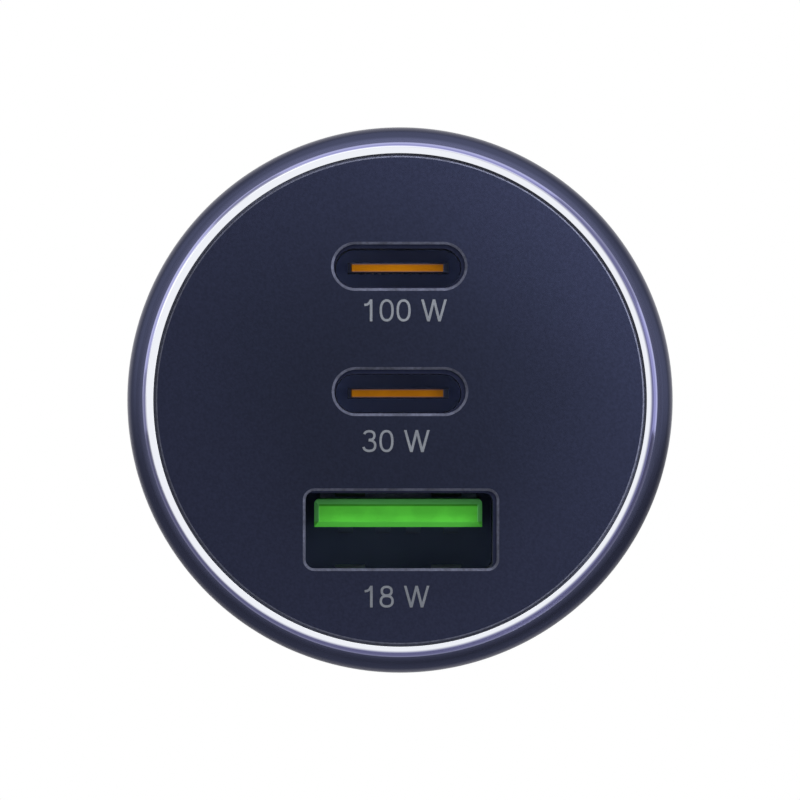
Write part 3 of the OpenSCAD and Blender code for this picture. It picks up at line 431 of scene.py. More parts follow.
# Bevels above and at both sides painted lighter as a painted sheen, the bevel below painted lighter as
# painted light, and the body in the slot above the tongue painted pale as painted light against its shade
def greenParts(finish, look, base, x, z):
    side = finish.edge(abs(x / mm - shellMiddle), look["greenSide"])
    above = finish.edge(z / mm, look["greenBevel"])
    # painted sheen on the upper and side bevels
    base = finish.blend(side.math("MAXIMUM", side, above), base, look["greenPaintedSheen"])
    # painted light on the lower bevel
    base = finish.blend(1 - finish.edge(z / mm, look["greenLower"]), base, look["greenUnderPaintedLight"])
    # painted light in the shaded slot above the tongue
    slot = finish.edge(z / mm, look["slotFoot"]) * (1 - side)
    return base, finish.blend(slot, look["greenBase"], look["greenSlotPaintedLight"])


def tongueFinish(name, colour, addParts):
    look = tongueLook
    finish = Finish(name, gloss=look["gloss"], specular=look["specular"])
    x, y, z = finish.axes()
    drift = finish.noise(600.0, 3.0)
    grain = finish.noise(8000.0, 2.0)
    base, body = addParts(finish, look, finish.patchy(drift, look, colour, colour + "Worn"), x, z)
    back = finish.edge(y / mm, look[colour + "BodyPlace"], 0.02)
    finish.feed("Base Color", finish.blend(back, base, body))
    finish.feed("Roughness", finish.rough(drift, look["gloss"], 0.06, 0.08))
    finish.bump(grain, look["grainDepth"])
    return finish.material


def orangeTongue():
    return tongueFinish("orangeTongue", "orange", orangeParts)


def greenTongue():
    return tongueFinish("greenTongue", "green", greenParts)


# Gilt contacts; the sprung ones of the USB-A port are painted dark towards the front as painted shade, with
# less metal and more roughness there
giltLook = {
    "gilt": (0.83, 0.60, 0.26),
    "worn": (0.66, 0.45, 0.18),
    "giltPaintedShade": (0.038, 0.055, 0.088),
    "giltPaintedShadeTop": (-7.0, -6.8),
    "giltPaintedShadeBack": (-29.0, -27.0),
    "gloss": 0.26,
}


def giltContact():
    look = giltLook
    finish = Finish("giltContact", metal=1.0, gloss=look["gloss"])
    _, y, z = finish.axes()
    gilt = finish.patchy(finish.noise(600.0, 3.0), look, "gilt", "worn", high=0.75)
    lines = finish.noise(4000.0, 3.0, finish.stretched((1, 0.05, 1)))
    # painted shade on the front of the USB-A port's contacts
    giltPaintedShade = (1 - finish.step(z / mm, *look["giltPaintedShadeTop"])) * (1 - finish.step(y / mm, *look["giltPaintedShadeBack"]))
    finish.feed("Base Color", finish.blend(giltPaintedShade, gilt, look["giltPaintedShade"]))
    finish.feed("Metallic", 1 - 0.8 * giltPaintedShade)
    finish.feed("Roughness", look["gloss"] - 0.06 + 0.12 * lines + 0.3 * giltPaintedShade)
    finish.bump(lines, 0.001 * mm)
    return finish.material


# Solder mask over copper: straight tracks under the green, and bare pads
boardLook = {
    "mask": (0.012, 0.085, 0.040),
    "track": (0.022, 0.150, 0.066),
    "pad": (0.62, 0.58, 0.48),
    "trackScale": 0.45,
    "padScale": 0.55,
    "padEdge": (0.16, 0.20),
    "relief": 0.03 * mm,
    "gloss": 0.32,
}


def solderMask():
    look = boardLook
    finish = Finish("solderMask", gloss=look["gloss"], coat=0.2)
    point = finish.stretched((1 / mm, 1 / mm, 1 / mm))
    mapping = {"Vector": point, "Rotation": (math.pi / 2, 0, 0), "Scale": [look["trackScale"]] * 3}
    turnedPoint = finish.node("ShaderNodeMapping", {}, mapping)
    settings = {"offset": 0.37, "squash": 1.6, "squash_frequency": 3}
    bricks = {"Color1": (0, 0, 0, 1), "Color2": (0.2, 0.2, 0.2, 1), "Mortar": (1, 1, 1, 1), "Scale": 1.0,
              "Mortar Size": 0.09, "Brick Width": 3.1, "Row Height": 0.9}
    tracks = finish.node("ShaderNodeTexBrick", settings, {"Vector": turnedPoint, **bricks})
    cells = finish.node("ShaderNodeTexVoronoi", {}, {"Vector": point, "Scale": look["padScale"]})
    pads = 1 - finish.step(cells, *look["padEdge"])
    base = finish.patchy(tracks, look, "mask", "track", 0.3, 0.7)
    finish.feed("Base Color", finish.blend(pads, base, look["pad"]))
    finish.feed("Roughness", look["gloss"] - 0.02 + 0.12 * finish.noise(900.0, 2.0))
    finish.feed("Metallic", pads)
    finish.bump(finish.step(tracks, 0.2, 0.8) + pads, look["relief"])
    return finish.material


# Capacitor can: drawn aluminium with a black mark on one side of its top
canLook = {
    "metal": (0.72, 0.73, 0.75),
    "mark": (0.02, 0.02, 0.02),
    "topDepth": (0.02, 0.08),
    "markPlace": (2.0, 2.1),
    "lineWidth": 0.05 * mm,
    "lineDepth": 0.002 * mm,
    "gloss": 0.28,
}


def drawnCan():
    look = canLook
    finish = Finish("drawnCan", metal=1.0, gloss=look["gloss"])
    x, y, _ = finish.axes()
    low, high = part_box("capacitor_upper")
    top = 1 - finish.step((x - low.x) / mm, *look["topDepth"])
    mark = top * finish.step((y - (low.y + high.y) / 2) / mm, *look["markPlace"])
    lines = finish.lines(x / look["lineWidth"])
    finish.feed("Base Color", finish.blend(mark, look["metal"], look["mark"]))
    finish.feed("Metallic", 1 - mark)
    finish.feed("Roughness", look["gloss"] - 0.06 + 0.14 * lines)
    finish.bump(lines, look["lineDepth"])
    return finish.material


# Shrunk sleeve: dark blue with a pale, dashed stripe on its negative side, and the can bare at both ends
sleeveLook = {
    "blue": (0.010, 0.020, 0.060),
    "stripe": (0.42, 0.46, 0.50),
    "dash": (0.012, 0.022, 0.060),
    "can": (0.66, 0.66, 0.66),
    "stripePlace": (1.2, 1.35),
    "dashPitch": 2.6 * mm,
    "dashShare": (0.55, 0.60),
    "frontEnd": (1.3, 1.4),
    "rearEnd": (-0.35, -0.3),
    "relief": 0.01 * mm,
    "gloss": 0.3,
}


def shrunkSleeve():
    look = sleeveLook
    finish = Finish("shrunkSleeve", gloss=look["gloss"], coat=0.3)
    _, y, z = finish.axes()
    low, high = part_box("input_capacitor")
    stripe = finish.step((z - (low.z + high.z) / 2) / mm, *look["stripePlace"])
    along = y / look["dashPitch"]
    dash = stripe * (1 - finish.step(along.math("FRACT", along), *look["dashShare"]))
    rear = finish.step((y - high.y) / mm, *look["rearEnd"])
    ends = rear + 1 - finish.step((y - low.y) / mm, *look["frontEnd"])
    ink = finish.blend(stripe, look["blue"], look["stripe"])
    ink = finish.blend(dash, ink, look["dash"])
    finish.feed("Base Color", finish.blend(ends, ink, look["can"]))
    finish.feed("Roughness", look["gloss"] - 0.04 + 0.1 * finish.noise(700.0, 2.0))
    finish.bump(finish.noise(500.0, 2.0), look["relief"])
    return finish.material


# Fuse: white ceramic between two tinned caps
fuseLook = {
    "ceramic": (0.78, 0.76, 0.70),
    "cap": (0.66, 0.65, 0.62),
    "capLength": 1.0,
    "relief": 0.004 * mm,
    "gloss": 0.35,
}


def ceramicFuse():
    look = fuseLook
    finish = Finish("ceramicFuse", gloss=look["gloss"])
    y = finish.axes()[1]
    low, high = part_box("fuse")
    front = 1 - finish.edge((y - low.y) / mm, look["capLength"], 0.02)
    caps = front + finish.edge((y - high.y) / mm, -look["capLength"], 0.02)
    finish.feed("Base Color", finish.blend(caps, look["ceramic"], look["cap"]))
    finish.feed("Metallic", caps)
    finish.feed("Roughness", look["gloss"] - 0.05 + 0.16 * finish.noise(1500.0, 3.0))
    finish.bump(finish.noise(2500.0, 2.0), look["relief"])
    return finish.material


# Plain mouldings by their slot: the material's name and its look
mouldings = {
    "carrier_plastic": ("carrierNylon", {
        "colour": (0.62, 0.60, 0.54), "worn": (0.56, 0.54, 0.48), "gloss": 0.45, "specular": 0.45,
        "driftScale": 150.0, "grainScale": 3000.0, "grainDepth": 0.006 * mm, "speckle": 0.05,
    }),
    "inductor_grey": ("pressedPowder", {
        "colour": (0.075, 0.075, 0.082), "worn": (0.11, 0.11, 0.115), "gloss": 0.6, "specular": 0.5,
        "driftScale": 500.0, "grainScale": 5000.0, "grainDepth": 0.02 * mm, "speckle": 0.4,
    }),
    "ferrite": ("paintedFerrite", {
        "colour": (0.10, 0.15, 0.075), "worn": (0.14, 0.19, 0.10), "gloss": 0.4, "specular": 0.5,
        "driftScale": 600.0, "grainScale": 3500.0, "grainDepth": 0.012 * mm, "speckle": 0.15,
    }),
    "chip_black": ("chipEpoxy", {
        "colour": (0.018, 0.018, 0.019), "worn": (0.024, 0.024, 0.026), "gloss": 0.55, "specular": 0.5,
        "driftScale": 500.0, "grainScale": 7000.0, "grainDepth": 0.01 * mm, "speckle": 0.3,
    }),
    "barrel_plastic": ("barrelPlastic", {
        "colour": (0.011, 0.011, 0.013), "worn": (0.015, 0.015, 0.017), "gloss": 0.40, "specular": 0.32,
        "driftScale": 90.0, "grainScale": 4200.0, "grainDepth": 0.008 * mm, "speckle": 0.2,
    }),
}
# Plain metals in the same way
metals = {
    "copper_wire": ("enamelledCopper", {
        "colour": (0.72, 0.24, 0.055), "tarnish": (0.56, 0.16, 0.035), "gloss": 0.22, "lineScale": 900.0,
        "grainWay": (1, 1, 1), "patchScale": 500.0, "lineDepth": 0.002 * mm,
    }),
    "tinned_strip": ("tinnedStrip", {
        "colour": (0.66, 0.65, 0.63), "tarnish": (0.50, 0.49, 0.47), "gloss": 0.34, "lineScale": 1500.0,
        "grainWay": (1, 0.1, 1), "patchScale": 500.0, "lineDepth": 0.003 * mm,
    }),
    "nickel": ("brightNickel", {
        "colour": (0.70, 0.68, 0.64), "tarnish": (0.60, 0.57, 0.52), "gloss": 0.20, "lineScale": 1200.0,
        "grainWay": (1, 0.06, 1), "patchScale": 250.0, "lineDepth": 0.002 * mm,
    }),
    "spring_steel": ("drawnWire", {
        "colour": (0.52, 0.52, 0.54), "tarnish": (0.40, 0.39, 0.40), "gloss": 0.28, "lineScale": 2500.0,
        "grainWay": (1, 1, 1), "patchScale": 400.0, "lineDepth": 0.001 * mm,
    }),
    "seat_brass": ("turnedBrass", {
        "colour": (0.70, 0.50, 0.19), "tarnish": (0.54, 0.36, 0.12), "gloss": 0.26, "lineScale": 2200.0,
        "grainWay": (1, 1, 1), "patchScale": 350.0, "lineDepth": 0.002 * mm,
    }),
}

finishes = {
    "anodised_head": anodisedHead(),
    "face_plastic": facePlastic(),
    "port_steel": portSteel(),
    "orange_plastic": orangeTongue(),
    "green_plastic": greenTongue(),
    "gilt_contact": giltContact(),
    "green_board": solderMask(),
    "can_metal": drawnCan(),
    "sleeve_blue": shrunkSleeve(),
    "ceramic": ceramicFuse(),
}
for slot, (name, look) in mouldings.items():
    finishes[slot] = mouldedPlastic(name, look)
for slot, (name, look) in metals.items():
    finishes[slot] = platedMetal(name, look)
nodeSlots = {part["node"]: part["material_slot"] for part in frame["record"]["subparts"]}
for name, node in frame["nodes"].items():
    node.data.materials.clear()
    node.data.materials.append(finishes[nodeSlots[name]])
print("finishes made:", len(finishes))


# Modelling: small steps that most pieces share. Lengths are in millimetres here
def choose(first, *others):
    if bpy.context.object and bpy.context.object.mode != "OBJECT":
        bpy.ops.object.mode_set(mode="OBJECT")
    bpy.ops.object.select_all(action="DESELECT")
    for piece in (first, *others):
        piece.select_set(True)
    bpy.context.view_layer.objects.active = first


def applyPlace():
    bpy.ops.object.transform_apply(location=True, rotation=True, scale=True)


def turn(angle, axis):
    bpy.ops.transform.rotate(value=angle, orient_axis=axis, center_override=(0, 0, 0))


def shift(x, y, z):
    bpy.ops.transform.translate(value=(x * mm, y * mm, z * mm))


def extrude(x, y, z):
    bpy.ops.mesh.extrude_region_move(TRANSFORM_OT_translate={"value": (x * mm, y * mm, z * mm)})


def editAll():
    bpy.ops.object.mode_set(mode="EDIT")
    bpy.ops.mesh.select_all(action="SELECT")


def normalsOut():
    editAll()
    bpy.ops.mesh.normals_make_consistent(inside=False)
    bpy.ops.object.mode_set(mode="OBJECT")


def pickVertices(piece, wanted):
    bpy.ops.object.mode_set(mode="EDIT")
    bpy.ops.mesh.select_mode(type="VERT")
    bpy.ops.mesh.select_all(action="DESELECT")
    bpy.ops.object.mode_set(mode="OBJECT")
    for vertex in piece.data.vertices:
        vertex.select = wanted(vertex.co)
    bpy.ops.object.mode_set(mode="EDIT")


# Sharp edges that lie where wanted says
def pickSharpEdges(piece, wanted):
    bpy.ops.object.mode_set(mode="EDIT")
    bpy.ops.mesh.select_mode(type="EDGE")
    bpy.ops.mesh.select_all(action="DESELECT")
    bpy.ops.mesh.edges_select_sharp(sharpness=math.radians(30))
    bpy.ops.object.mode_set(mode="OBJECT")
    points = piece.data.vertices
    for edge in piece.data.edges:
        edge.select = edge.select and all(wanted(points[i].co) for i in edge.vertices)
    bpy.ops.object.mode_set(mode="EDIT")


def applyModifier(piece, kind, settings):
    choose(piece)
    modifier = piece.modifiers.new(kind, kind)
    for key, value in settings.items():
        setattr(modifier, key, value)
    bpy.ops.object.modifier_apply(modifier=modifier.name)


def cutWith(piece, cutter):
    applyModifier(piece, "BOOLEAN", {"operation": "DIFFERENCE", "solver": "EXACT", "object": cutter})
    bpy.data.objects.remove(cutter)


# Ends a piece: place into the mesh, smooth where the bends are slight, name, material, body and slot
def finishPiece(piece, name, slotName, body, smoothAngle, replaced=()):
    choose(piece)
    applyPlace()
    bpy.ops.object.shade_smooth_by_angle(angle=math.radians(smoothAngle))
    piece.name = name
    piece.data.name = name
    if not piece.data.materials:
        piece.data.materials.append(finishes[slotName])
    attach(piece, body)
    if replaced:
        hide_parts(*replaced)
    print("made", name, "with", len(piece.data.polygons), "faces")


# A corner (radius, place, rounding) of an outline becomes a short curve
def rounded(corners, closed, steps):
    path = []
    last = len(corners) - 1
    for i, (x, y, soft) in enumerate(corners):
        if soft == 0 or (not closed and i in (0, last)):
            path.append((x, y))
            continue
        before = corners[i - 1]
        after = corners[(i + 1) % len(corners)]
        inward = math.hypot(before[0] - x, before[1] - y)
        outward = math.hypot(after[0] - x, after[1] - y)
        start = (x + (before[0] - x) * soft / inward, y + (before[1] - y) * soft / inward)
        end = (x + (after[0] - x) * soft / outward, y + (after[1] - y) * soft / outward)
        for k in range(steps + 1):
            t = k / steps
            a, b, c = (1 - t) ** 2, 2 * t * (1 - t), t ** 2
            path.append((a * start[0] + b * x + c * end[0], a * start[1] + b * y + c * end[1]))
    return path + path[:1] if closed else path


def arcPath(centre, radius, start, end, steps):
    angles = [math.radians(start + (end - start) * i / steps) for i in range(steps + 1)]
    return [(centre[0] + radius * math.cos(a), centre[1] + radius * math.sin(a)) for a in angles]


# One vertex, drawn out along the path of (radius, place along the plug)
def drawPath(path):
    bpy.ops.mesh.primitive_plane_add(size=mm)
    piece = bpy.context.object
    editAll()
    bpy.ops.mesh.select_mode(type="VERT")
    bpy.ops.mesh.merge(type="CENTER")
    shift(*path[0], 0)
    for before, after in zip(path, path[1:]):
        extrude(after[0] - before[0], after[1] - before[1], 0)
    editAll()
    bpy.ops.mesh.remove_doubles(threshold=1e-7)
    return piece


# Turns a path round the plug's axis
def turnPath(path, steps=192):
    piece = drawPath(path)
    editAll()
    bpy.ops.mesh.spin(steps=steps, angle=2 * math.pi, center=(0, 0, 0), axis=(0, 1, 0))
    editAll()
    bpy.ops.mesh.remove_doubles(threshold=1e-6)
    normalsOut()
    return piece


# Block with rounded corners, across the plug's axis, between two places along it
def slotBlock(width, height, corner, centre, near, far, sides=64):
    bpy.ops.mesh.primitive_cylinder_add(vertices=sides, radius=corner * mm, depth=(far - near) * mm)
    piece = bpy.context.object
    turn(math.pi / sides, "Z")
    turn(math.pi / 2, "X")
    applyPlace()
    for axis, size in ((0, width), (2, height)):
        for side in (-1, 1):
            move = [0, 0, 0]
            move[axis] = side * (size / 2 - corner)
            pickVertices(piece, lambda co: co[axis] * side > 0)
            shift(*move)
    editAll()
    shift(centre[0], (near + far) / 2, centre[1])
    bpy.ops.object.mode_set(mode="OBJECT")
    return piece


# Head: rounded rim, bright-cut ring, straight side, rear cone and neck, hollow behind
head = {
    "radius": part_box("housing_shell")[1].x / mm,
    "front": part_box("housing_shell")[0].y / mm,
    "steps": 256,
    "smoothAngle": 6.5,
    "rimWidth": 1.7,
    "burr": 0.04,
    "ledgeWidth": 0.5,
    "rimRounding": 1.0,
    "ringWidth": 0.70,
    "ringLand": 0.46,
    "ringHeight": 0.18,
    "ringSlope": (0.06, 0.05),
    "rearRounding": 8.0,
    "rearAngle": 35.0,
    "neckRadius": 12.0,
    "neckBevel": 0.4,
    "neckStep": 0.1,
    "holeRadius": 10.5,
    "floor": -4.0,
    "ledge": -31.9,
}


def makeHead():
    radius = head["radius"]
    front = head["front"]
    shoulder = front + head["ringHeight"]
    bore = radius - head["rimWidth"] - head["burr"]
    inner = bore - head["ledgeWidth"]
    wall = radius - inner
    slope = math.radians(head["rearAngle"])
    arcRadius = radius - head["rearRounding"]
    arcEnd = arcRadius + head["rearRounding"] * math.cos(slope)
    arcPlace = -((arcEnd - head["neckRadius"]) / math.tan(slope) + head["rearRounding"] * math.sin(slope))
    neck = head["neckRadius"]
    innerFloor = neck - head["floor"] * math.tan(slope) - wall / math.cos(slope)
    soft = head["rimRounding"]
    bevel = head["neckBevel"]
    path = [(head["holeRadius"], 0), (neck - bevel, 0), (neck + head["neckStep"], -bevel)]
    path += arcPath((arcRadius, arcPlace), head["rearRounding"], head["rearAngle"], 0, 14)
    path += arcPath((radius - soft, shoulder + soft), soft, 0, -90, 16)
    land = bore + head["ringLand"]
    across, back = head["ringSlope"]
    path += rounded([
        (radius - soft, shoulder, 0), (bore + head["ringWidth"], shoulder, 0.03),
        (land + across, front + back, 0.03), (land, front, 0.02), (bore, front, 0.015),
        (bore, head["ledge"], 0.05), (inner, head["ledge"], 0.05), (inner, arcPlace, 0),
    ], False, 2)
    path += arcPath((arcRadius, arcPlace), head["rearRounding"] - wall, 0, head["rearAngle"], 10)
    path += [(innerFloor, head["floor"]), (head["holeRadius"], head["floor"]), (head["holeRadius"], 0)]
    piece = turnPath(path, head["steps"])
    finishPiece(piece, "headShell", "anodised_head", "plug", head["smoothAngle"], ["housing_shell"])


makeHead()

# Face plate: a disc with three bevelled openings, pockets behind them and a skirt of snap fingers.
# A bevel is the range of radii whose front edges get it, and its width
plate = {
    "steps": 256,
    "smoothAngle": 20,
    "radius": 16.09,
    "front": -33.9,
    "back": -31.9,
    "mouth": -33.1,
    "bevels": ((0, 14.8, 0.17), (16, 17, 0.09)),
    "bevelLift": 0.5,
    "landInner": 15.49,
    "landRadius": 16.24,
    "groove": 0.16,
    "cutPast": 1,
    "pocketGap": 0.2,
    "skirtRadius": 15.68,
    "skirtWall": 0.9,
    "skirtTop": -32.4,
    "skirtEnd": -28.5,
    "bead": 0.2,
    "beadPlace": -29.4,
    "slits": 6,
    "slitSize": (40, 4.6, 1.2),
    "slitPlace": -29.6,
}
# Each opening's middle and its width, height and corner, then the same of the receptacle behind it
ports = {
    "cUpper": {
        "opening": ((-0.045, 8.812), (8.65, 2.89, 1.445)),
        "shell": ((shellMiddle, 8.72), (8.94, 3.16, 1.58)),
    },
    "cLower": {
        "opening": ((0.0, 0.557), (8.665, 2.895, 1.4475)),
        "shell": ((shellMiddle, 0.44), (8.94, 3.16, 1.58)),
    },
    "a": {
        "opening": ((0.07, -8.545), (12.6, 5.10, 0.6)),
        "shell": ((shellMiddle, -8.69), (13.1, 5.72, 0.9)),
    },
}


# The front's sharp edges between two radii get a bevel, and its foot comes forward to make it shallow
def bevelFront(disc, low, high, width):
    front = plate["front"] * mm
    foot = front + width * mm
    pickSharpEdges(disc, lambda co: abs(co.y - front) < 1e-6 and low < math.hypot(co.x, co.z) / mm < high)
    bpy.ops.mesh.bevel(offset=width * mm, offset_type="OFFSET", segments=1)
    disc.active_material_index = 1
    bpy.ops.object.material_slot_assign()
    pickVertices(disc, lambda co: abs(co.y - foot) < 1e-6)
    shift(0, -plate["bevelLift"] * width, 0)
    bpy.ops.object.mode_set(mode="OBJECT")


def makeFacePlate():
    depth = (plate["back"] - plate["front"]) * mm
    bpy.ops.mesh.primitive_cylinder_add(vertices=plate["steps"], radius=plate["radius"] * mm, depth=depth)
    disc = bpy.context.object
    turn(math.pi / 2, "X")
    shift(0, (plate["front"] + plate["back"]) / 2, 0)
    applyPlace()
    gap = plate["pocketGap"]
    before = plate["front"] - plate["cutPast"]
    behind = plate["back"] + plate["cutPast"]
    for port in ports.values():
        middle, (width, height, corner) = port["opening"]
        cutWith(disc, slotBlock(width, height, corner, middle, before, behind))
        middle, (width, height, corner) = port["shell"]
        pocket = (width + 2 * gap, height + 2 * gap, corner + gap)
        cutWith(disc, slotBlock(*pocket, middle, plate["mouth"], behind))
    disc.data.materials.append(finishes["face_plastic"])
    disc.data.materials.append(faceEdgeFinish)
    for low, high, width in plate["bevels"]:
        bevelFront(disc, low, high, width)
    choose(disc, makeSkirt(), makeLand())
    bpy.ops.object.join()
    finishPiece(disc, "facePlate", "face_plastic", "plug", plate["smoothAngle"], ["face_plate"])


# The land that centres the plate in the head, seen as a shallow groove round the plate
def makeLand():
    inner, outer = plate["landInner"], plate["landRadius"]
    top, back = plate["front"] + plate["groove"], plate["back"]
    land = turnPath([(inner, top), (outer, top), (outer, back), (inner, back), (inner, top)])
    land.data.materials.append(faceEdgeFinish)
    return land


def makeSkirt():
    outer = plate["skirtRadius"]
    inner = outer - plate["skirtWall"]
    bead = arcPath((outer, plate["beadPlace"]), plate["bead"], -90, 90, 8)
    path = [(inner, plate["skirtEnd"]), (inner, plate["skirtTop"]), (outer, plate["skirtTop"])]
    skirt = turnPath(path + bead + [(outer, plate["skirtEnd"]), (inner, plate["skirtEnd"])])
    skirt.data.materials.append(finishes["face_plastic"])
    # a blade cuts the two slits that face each other
    pairs = plate["slits"] // 2
    for i in range(pairs):
        bpy.ops.mesh.primitive_cube_add(size=1)
        blade = bpy.context.object
        bpy.ops.transform.resize(value=[size * mm for size in plate["slitSize"]])
        shift(0, plate["slitPlace"], 0)
        turn(math.pi * i / pairs, "Y")
        applyPlace()
        cutWith(skirt, blade)
    return skirt


faceEdgeFinish = faceEdge()
makeFacePlate()

# Ratings under the ports, printed on the face: what is written, left edge and foot, height of a figure
ratings = {
    "ratingUpper": ("100 W", -2.35, 5.18, 1.45),
    "ratingMiddle": ("30 W", -2.48, -3.43, 1.45),
    "ratingLower": ("18 W", -2.33, -13.67, 1.43),
}
# Parts of the figures' height, and the thickness and the step between crossing strokes in mm
ink = {
    "stroke": 0.108,
    "leg": 0.118,
    "gap": 0.10,
    "gapAfterOne": 0.30,
    "space": 0.36,
    "squareness": 0.86,
    "thickness": 0.012,
    "layer": 0.001,
    "smoothAngle": 20,
}


# Part of an oval, a little squarer than an ellipse
def ovalPath(centre, half, start, end, steps):
    path = []
    for i in range(steps + 1):
        angle = math.radians(start + (end - start) * i / steps)
        across = math.copysign(abs(math.cos(angle)) ** ink["squareness"], math.cos(angle))
        up = math.copysign(abs(math.sin(angle)) ** ink["squareness"], math.sin(angle))
        path.append((centre[0] + half[0] * across, centre[1] + half[1] * up))
    return path


# Figures at a height of 1: width, paths of the round strokes, legs as (x at the top, x at the foot)
def figureStrokes(figure):
    if figure == "1":
        flag = [(0.0, 0.745), (0.10, 0.758), (0.185, 0.80), (0.245, 0.865), (0.285, 0.95)]
        return 0.38, [flag], [(0.25, 0.25)]
    if figure == "0":
        return 0.67, [ovalPath((0.335, 0.5), (0.267, 0.450), 0, 360, 48)], []
    if figure == "8":
        upper = ovalPath((0.335, 0.752), (0.224, 0.198), 0, 360, 40)
        lower = ovalPath((0.335, 0.290), (0.270, 0.240), 0, 360, 40)
        return 0.67, [upper, lower], []
    if figure == "3":
        upper = ovalPath((0.315, 0.750), (0.232, 0.196), 165, -95, 30)
        lower = ovalPath((0.315, 0.294), (0.268, 0.240), 95, -168, 32)
        return 0.66, [upper, lower], []
    return 1.17, [], [(0.0, 0.277), (0.526, 0.277), (0.526, 0.775), (1.052, 0.775)]


# A round stroke stands up as a thin wall along its path, which then gets the stroke's width
def inkStroke(path, height, lift):
    piece = drawPath([(x * height, y * height) for x, y in path])
    editAll()
    extrude(0, 0, ink["thickness"] + lift)
    width = ink["stroke"] * height * mm
    applyModifier(piece, "SOLIDIFY", {"thickness": width, "offset": 0, "use_even_offset": True})
    return piece


def inkLeg(top, foot, height, lift):
    piece = drawPath([(top * height, height), ((top + ink["leg"]) * height, height)])
    editAll()
    extrude((foot - top) * height, -height, 0)
    editAll()
    extrude(0, 0, ink["thickness"] + lift)
    bpy.ops.object.mode_set(mode="OBJECT")
    return piece


def makeRating(name, words, left, low, height):
    place = 0
    strokes = []
    for figure in words:
        if figure == " ":
            place += ink["space"]
            continue
        width, paths, legs = figureStrokes(figure)
        for i, path in enumerate(paths):
            strokes.append(inkStroke([(x + place, y) for x, y in path], height, ink["layer"] * i))
        for i, (top, foot) in enumerate(legs):
            strokes.append(inkLeg(top + place, foot + place, height, ink["layer"] * (2 + i % 2)))
        place += width + ink["gapAfterOne" if figure == "1" else "gap"]
    piece = strokes[0]
    choose(*strokes)
    bpy.ops.object.join()
    piece.rotation_euler = (math.pi / 2, 0, 0)
    piece.location = (left * mm, plate["front"] * mm, low * mm)
    normalsOut()
    piece.data.materials.append(ratingFinish)
    finishPiece(piece, name, "face_plastic", "plug", ink["smoothAngle"])


ratingFinish = mouldedPlastic("ratingInk", inkLook)
for name, rating in ratings.items():
    makeRating(name, *rating)

# Barrel: flange in the head, collar, windows for the side contacts, partition and spigot
barrel = {
    "collar": 10.4,
    "body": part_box("nose_cap")[1].x / mm,
    "bore": 9.2,
    "chamber": 8.2,
    "spigot": 9.4,
    "stemHole": 1.3,
    "flange": 11.9,
    "flangeTop": -6.0,
    "flangeFoot": -4.0,
    "collarEnd": 7.0,
    "end": 30.0,
    "spigotEnd": 34.0,
    "partitionTop": 25.0,
    "partitionFoot": 26.2,
    "windowWidth": 5.0,
    "windowStart": 7.7,
    "windowEnd": 22.3,
    "windowCorner": 0.5,
    "windowReach": 4,
    "smoothAngle": 28,
}


def makeBarrel():
    size = barrel
    path = rounded([
        (size["bore"], size["flangeTop"], 0.2), (size["flange"], size["flangeTop"], 0.2),
        (size["flange"], size["flangeFoot"], 0.1), (size["body"], size["flangeFoot"], 0.1),
        (size["body"], 0, 0), (size["collar"], 0, 0),
        (size["collar"], size["collarEnd"], 0.1), (size["body"], size["collarEnd"], 0.06),
        (size["body"], size["end"], 0.12), (size["spigot"], size["end"], 0.1),
        (size["spigot"], size["spigotEnd"], 0.25), (size["chamber"], size["spigotEnd"], 0.15),
        (size["chamber"], size["partitionFoot"], 0.2), (size["stemHole"], size["partitionFoot"], 0.1),
        (size["stemHole"], size["partitionTop"], 0.1), (size["bore"], size["partitionTop"], 0.3),
    ], True, 4)
    piece = turnPath(path)
    length = size["windowEnd"] - size["windowStart"]
    reach = size["windowReach"]
    for side in (-1, 1):
        window = slotBlock(size["windowWidth"], length, size["windowCorner"], (0, 0), -reach, reach, 32)
        turn(math.pi / 2, "X")
        turn(math.pi / 2, "Y")
        applyPlace()
        shift(side * size["body"], size["windowStart"] + length / 2, 0)
        applyPlace()
        cutWith(piece, window)
    finishPiece(piece, "plugBarrel", "barrel_plastic", "plug", size["smoothAngle"], ["plug_barrel"])


makeBarrel()

# Nose cap with a rounded end, and the tip with its flange and guide
nose = {
    "start": 30.0,
    "end": 36.5,
    "wallPlace": 34.3,
    "inner": 9.45,
    "hole": 4.5,
    "rounding": 2.0,
    "tipRadius": 4.3,
    "tipEnd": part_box("tip_contact")[1].y / mm,
    "tipRounding": 1.5,
    "flangeRadius": 7.6,
    "flangeBack": 33.1,
    "guideRadius": 2.4,
    "guideLength": 2.0,
    "tipSteps": 128,
    "smoothAngle": 28,
}


def makeNoseCap():
    size = nose
    outer = barrel["body"]
    path = rounded([
        (size["inner"], size["start"], 0.1), (outer, size["start"], 0.12),
        (outer, size["end"], size["rounding"] * 1.25), (size["hole"], size["end"], 0.25),
        (size["hole"], size["wallPlace"], 0.1), (size["inner"], size["wallPlace"], 0.2),
    ], True, 10)
    finishPiece(turnPath(path), "noseCap", "barrel_plastic", "plug", size["smoothAngle"], ["nose_cap"])


def makeTip():
    size = nose
    guideEnd = size["flangeBack"] - size["guideLength"]
    path = rounded([
        (0, guideEnd, 0), (size["guideRadius"], guideEnd, 0.3),
        (size["guideRadius"], size["flangeBack"], 0.1), (size["flangeRadius"], size["flangeBack"], 0.15),
        (size["flangeRadius"], size["wallPlace"], 0.15), (size["tipRadius"], size["wallPlace"], 0.1),
        (size["tipRadius"], size["tipEnd"], size["tipRounding"] * 1.2), (0, size["tipEnd"], 0),
    ], False, 8)
    piece = turnPath(path, size["tipSteps"])
    finishPiece(piece, "tipPin", "nickel", "tip", size["smoothAngle"], ["tip_contact"])


makeNoseCap()
makeTip()

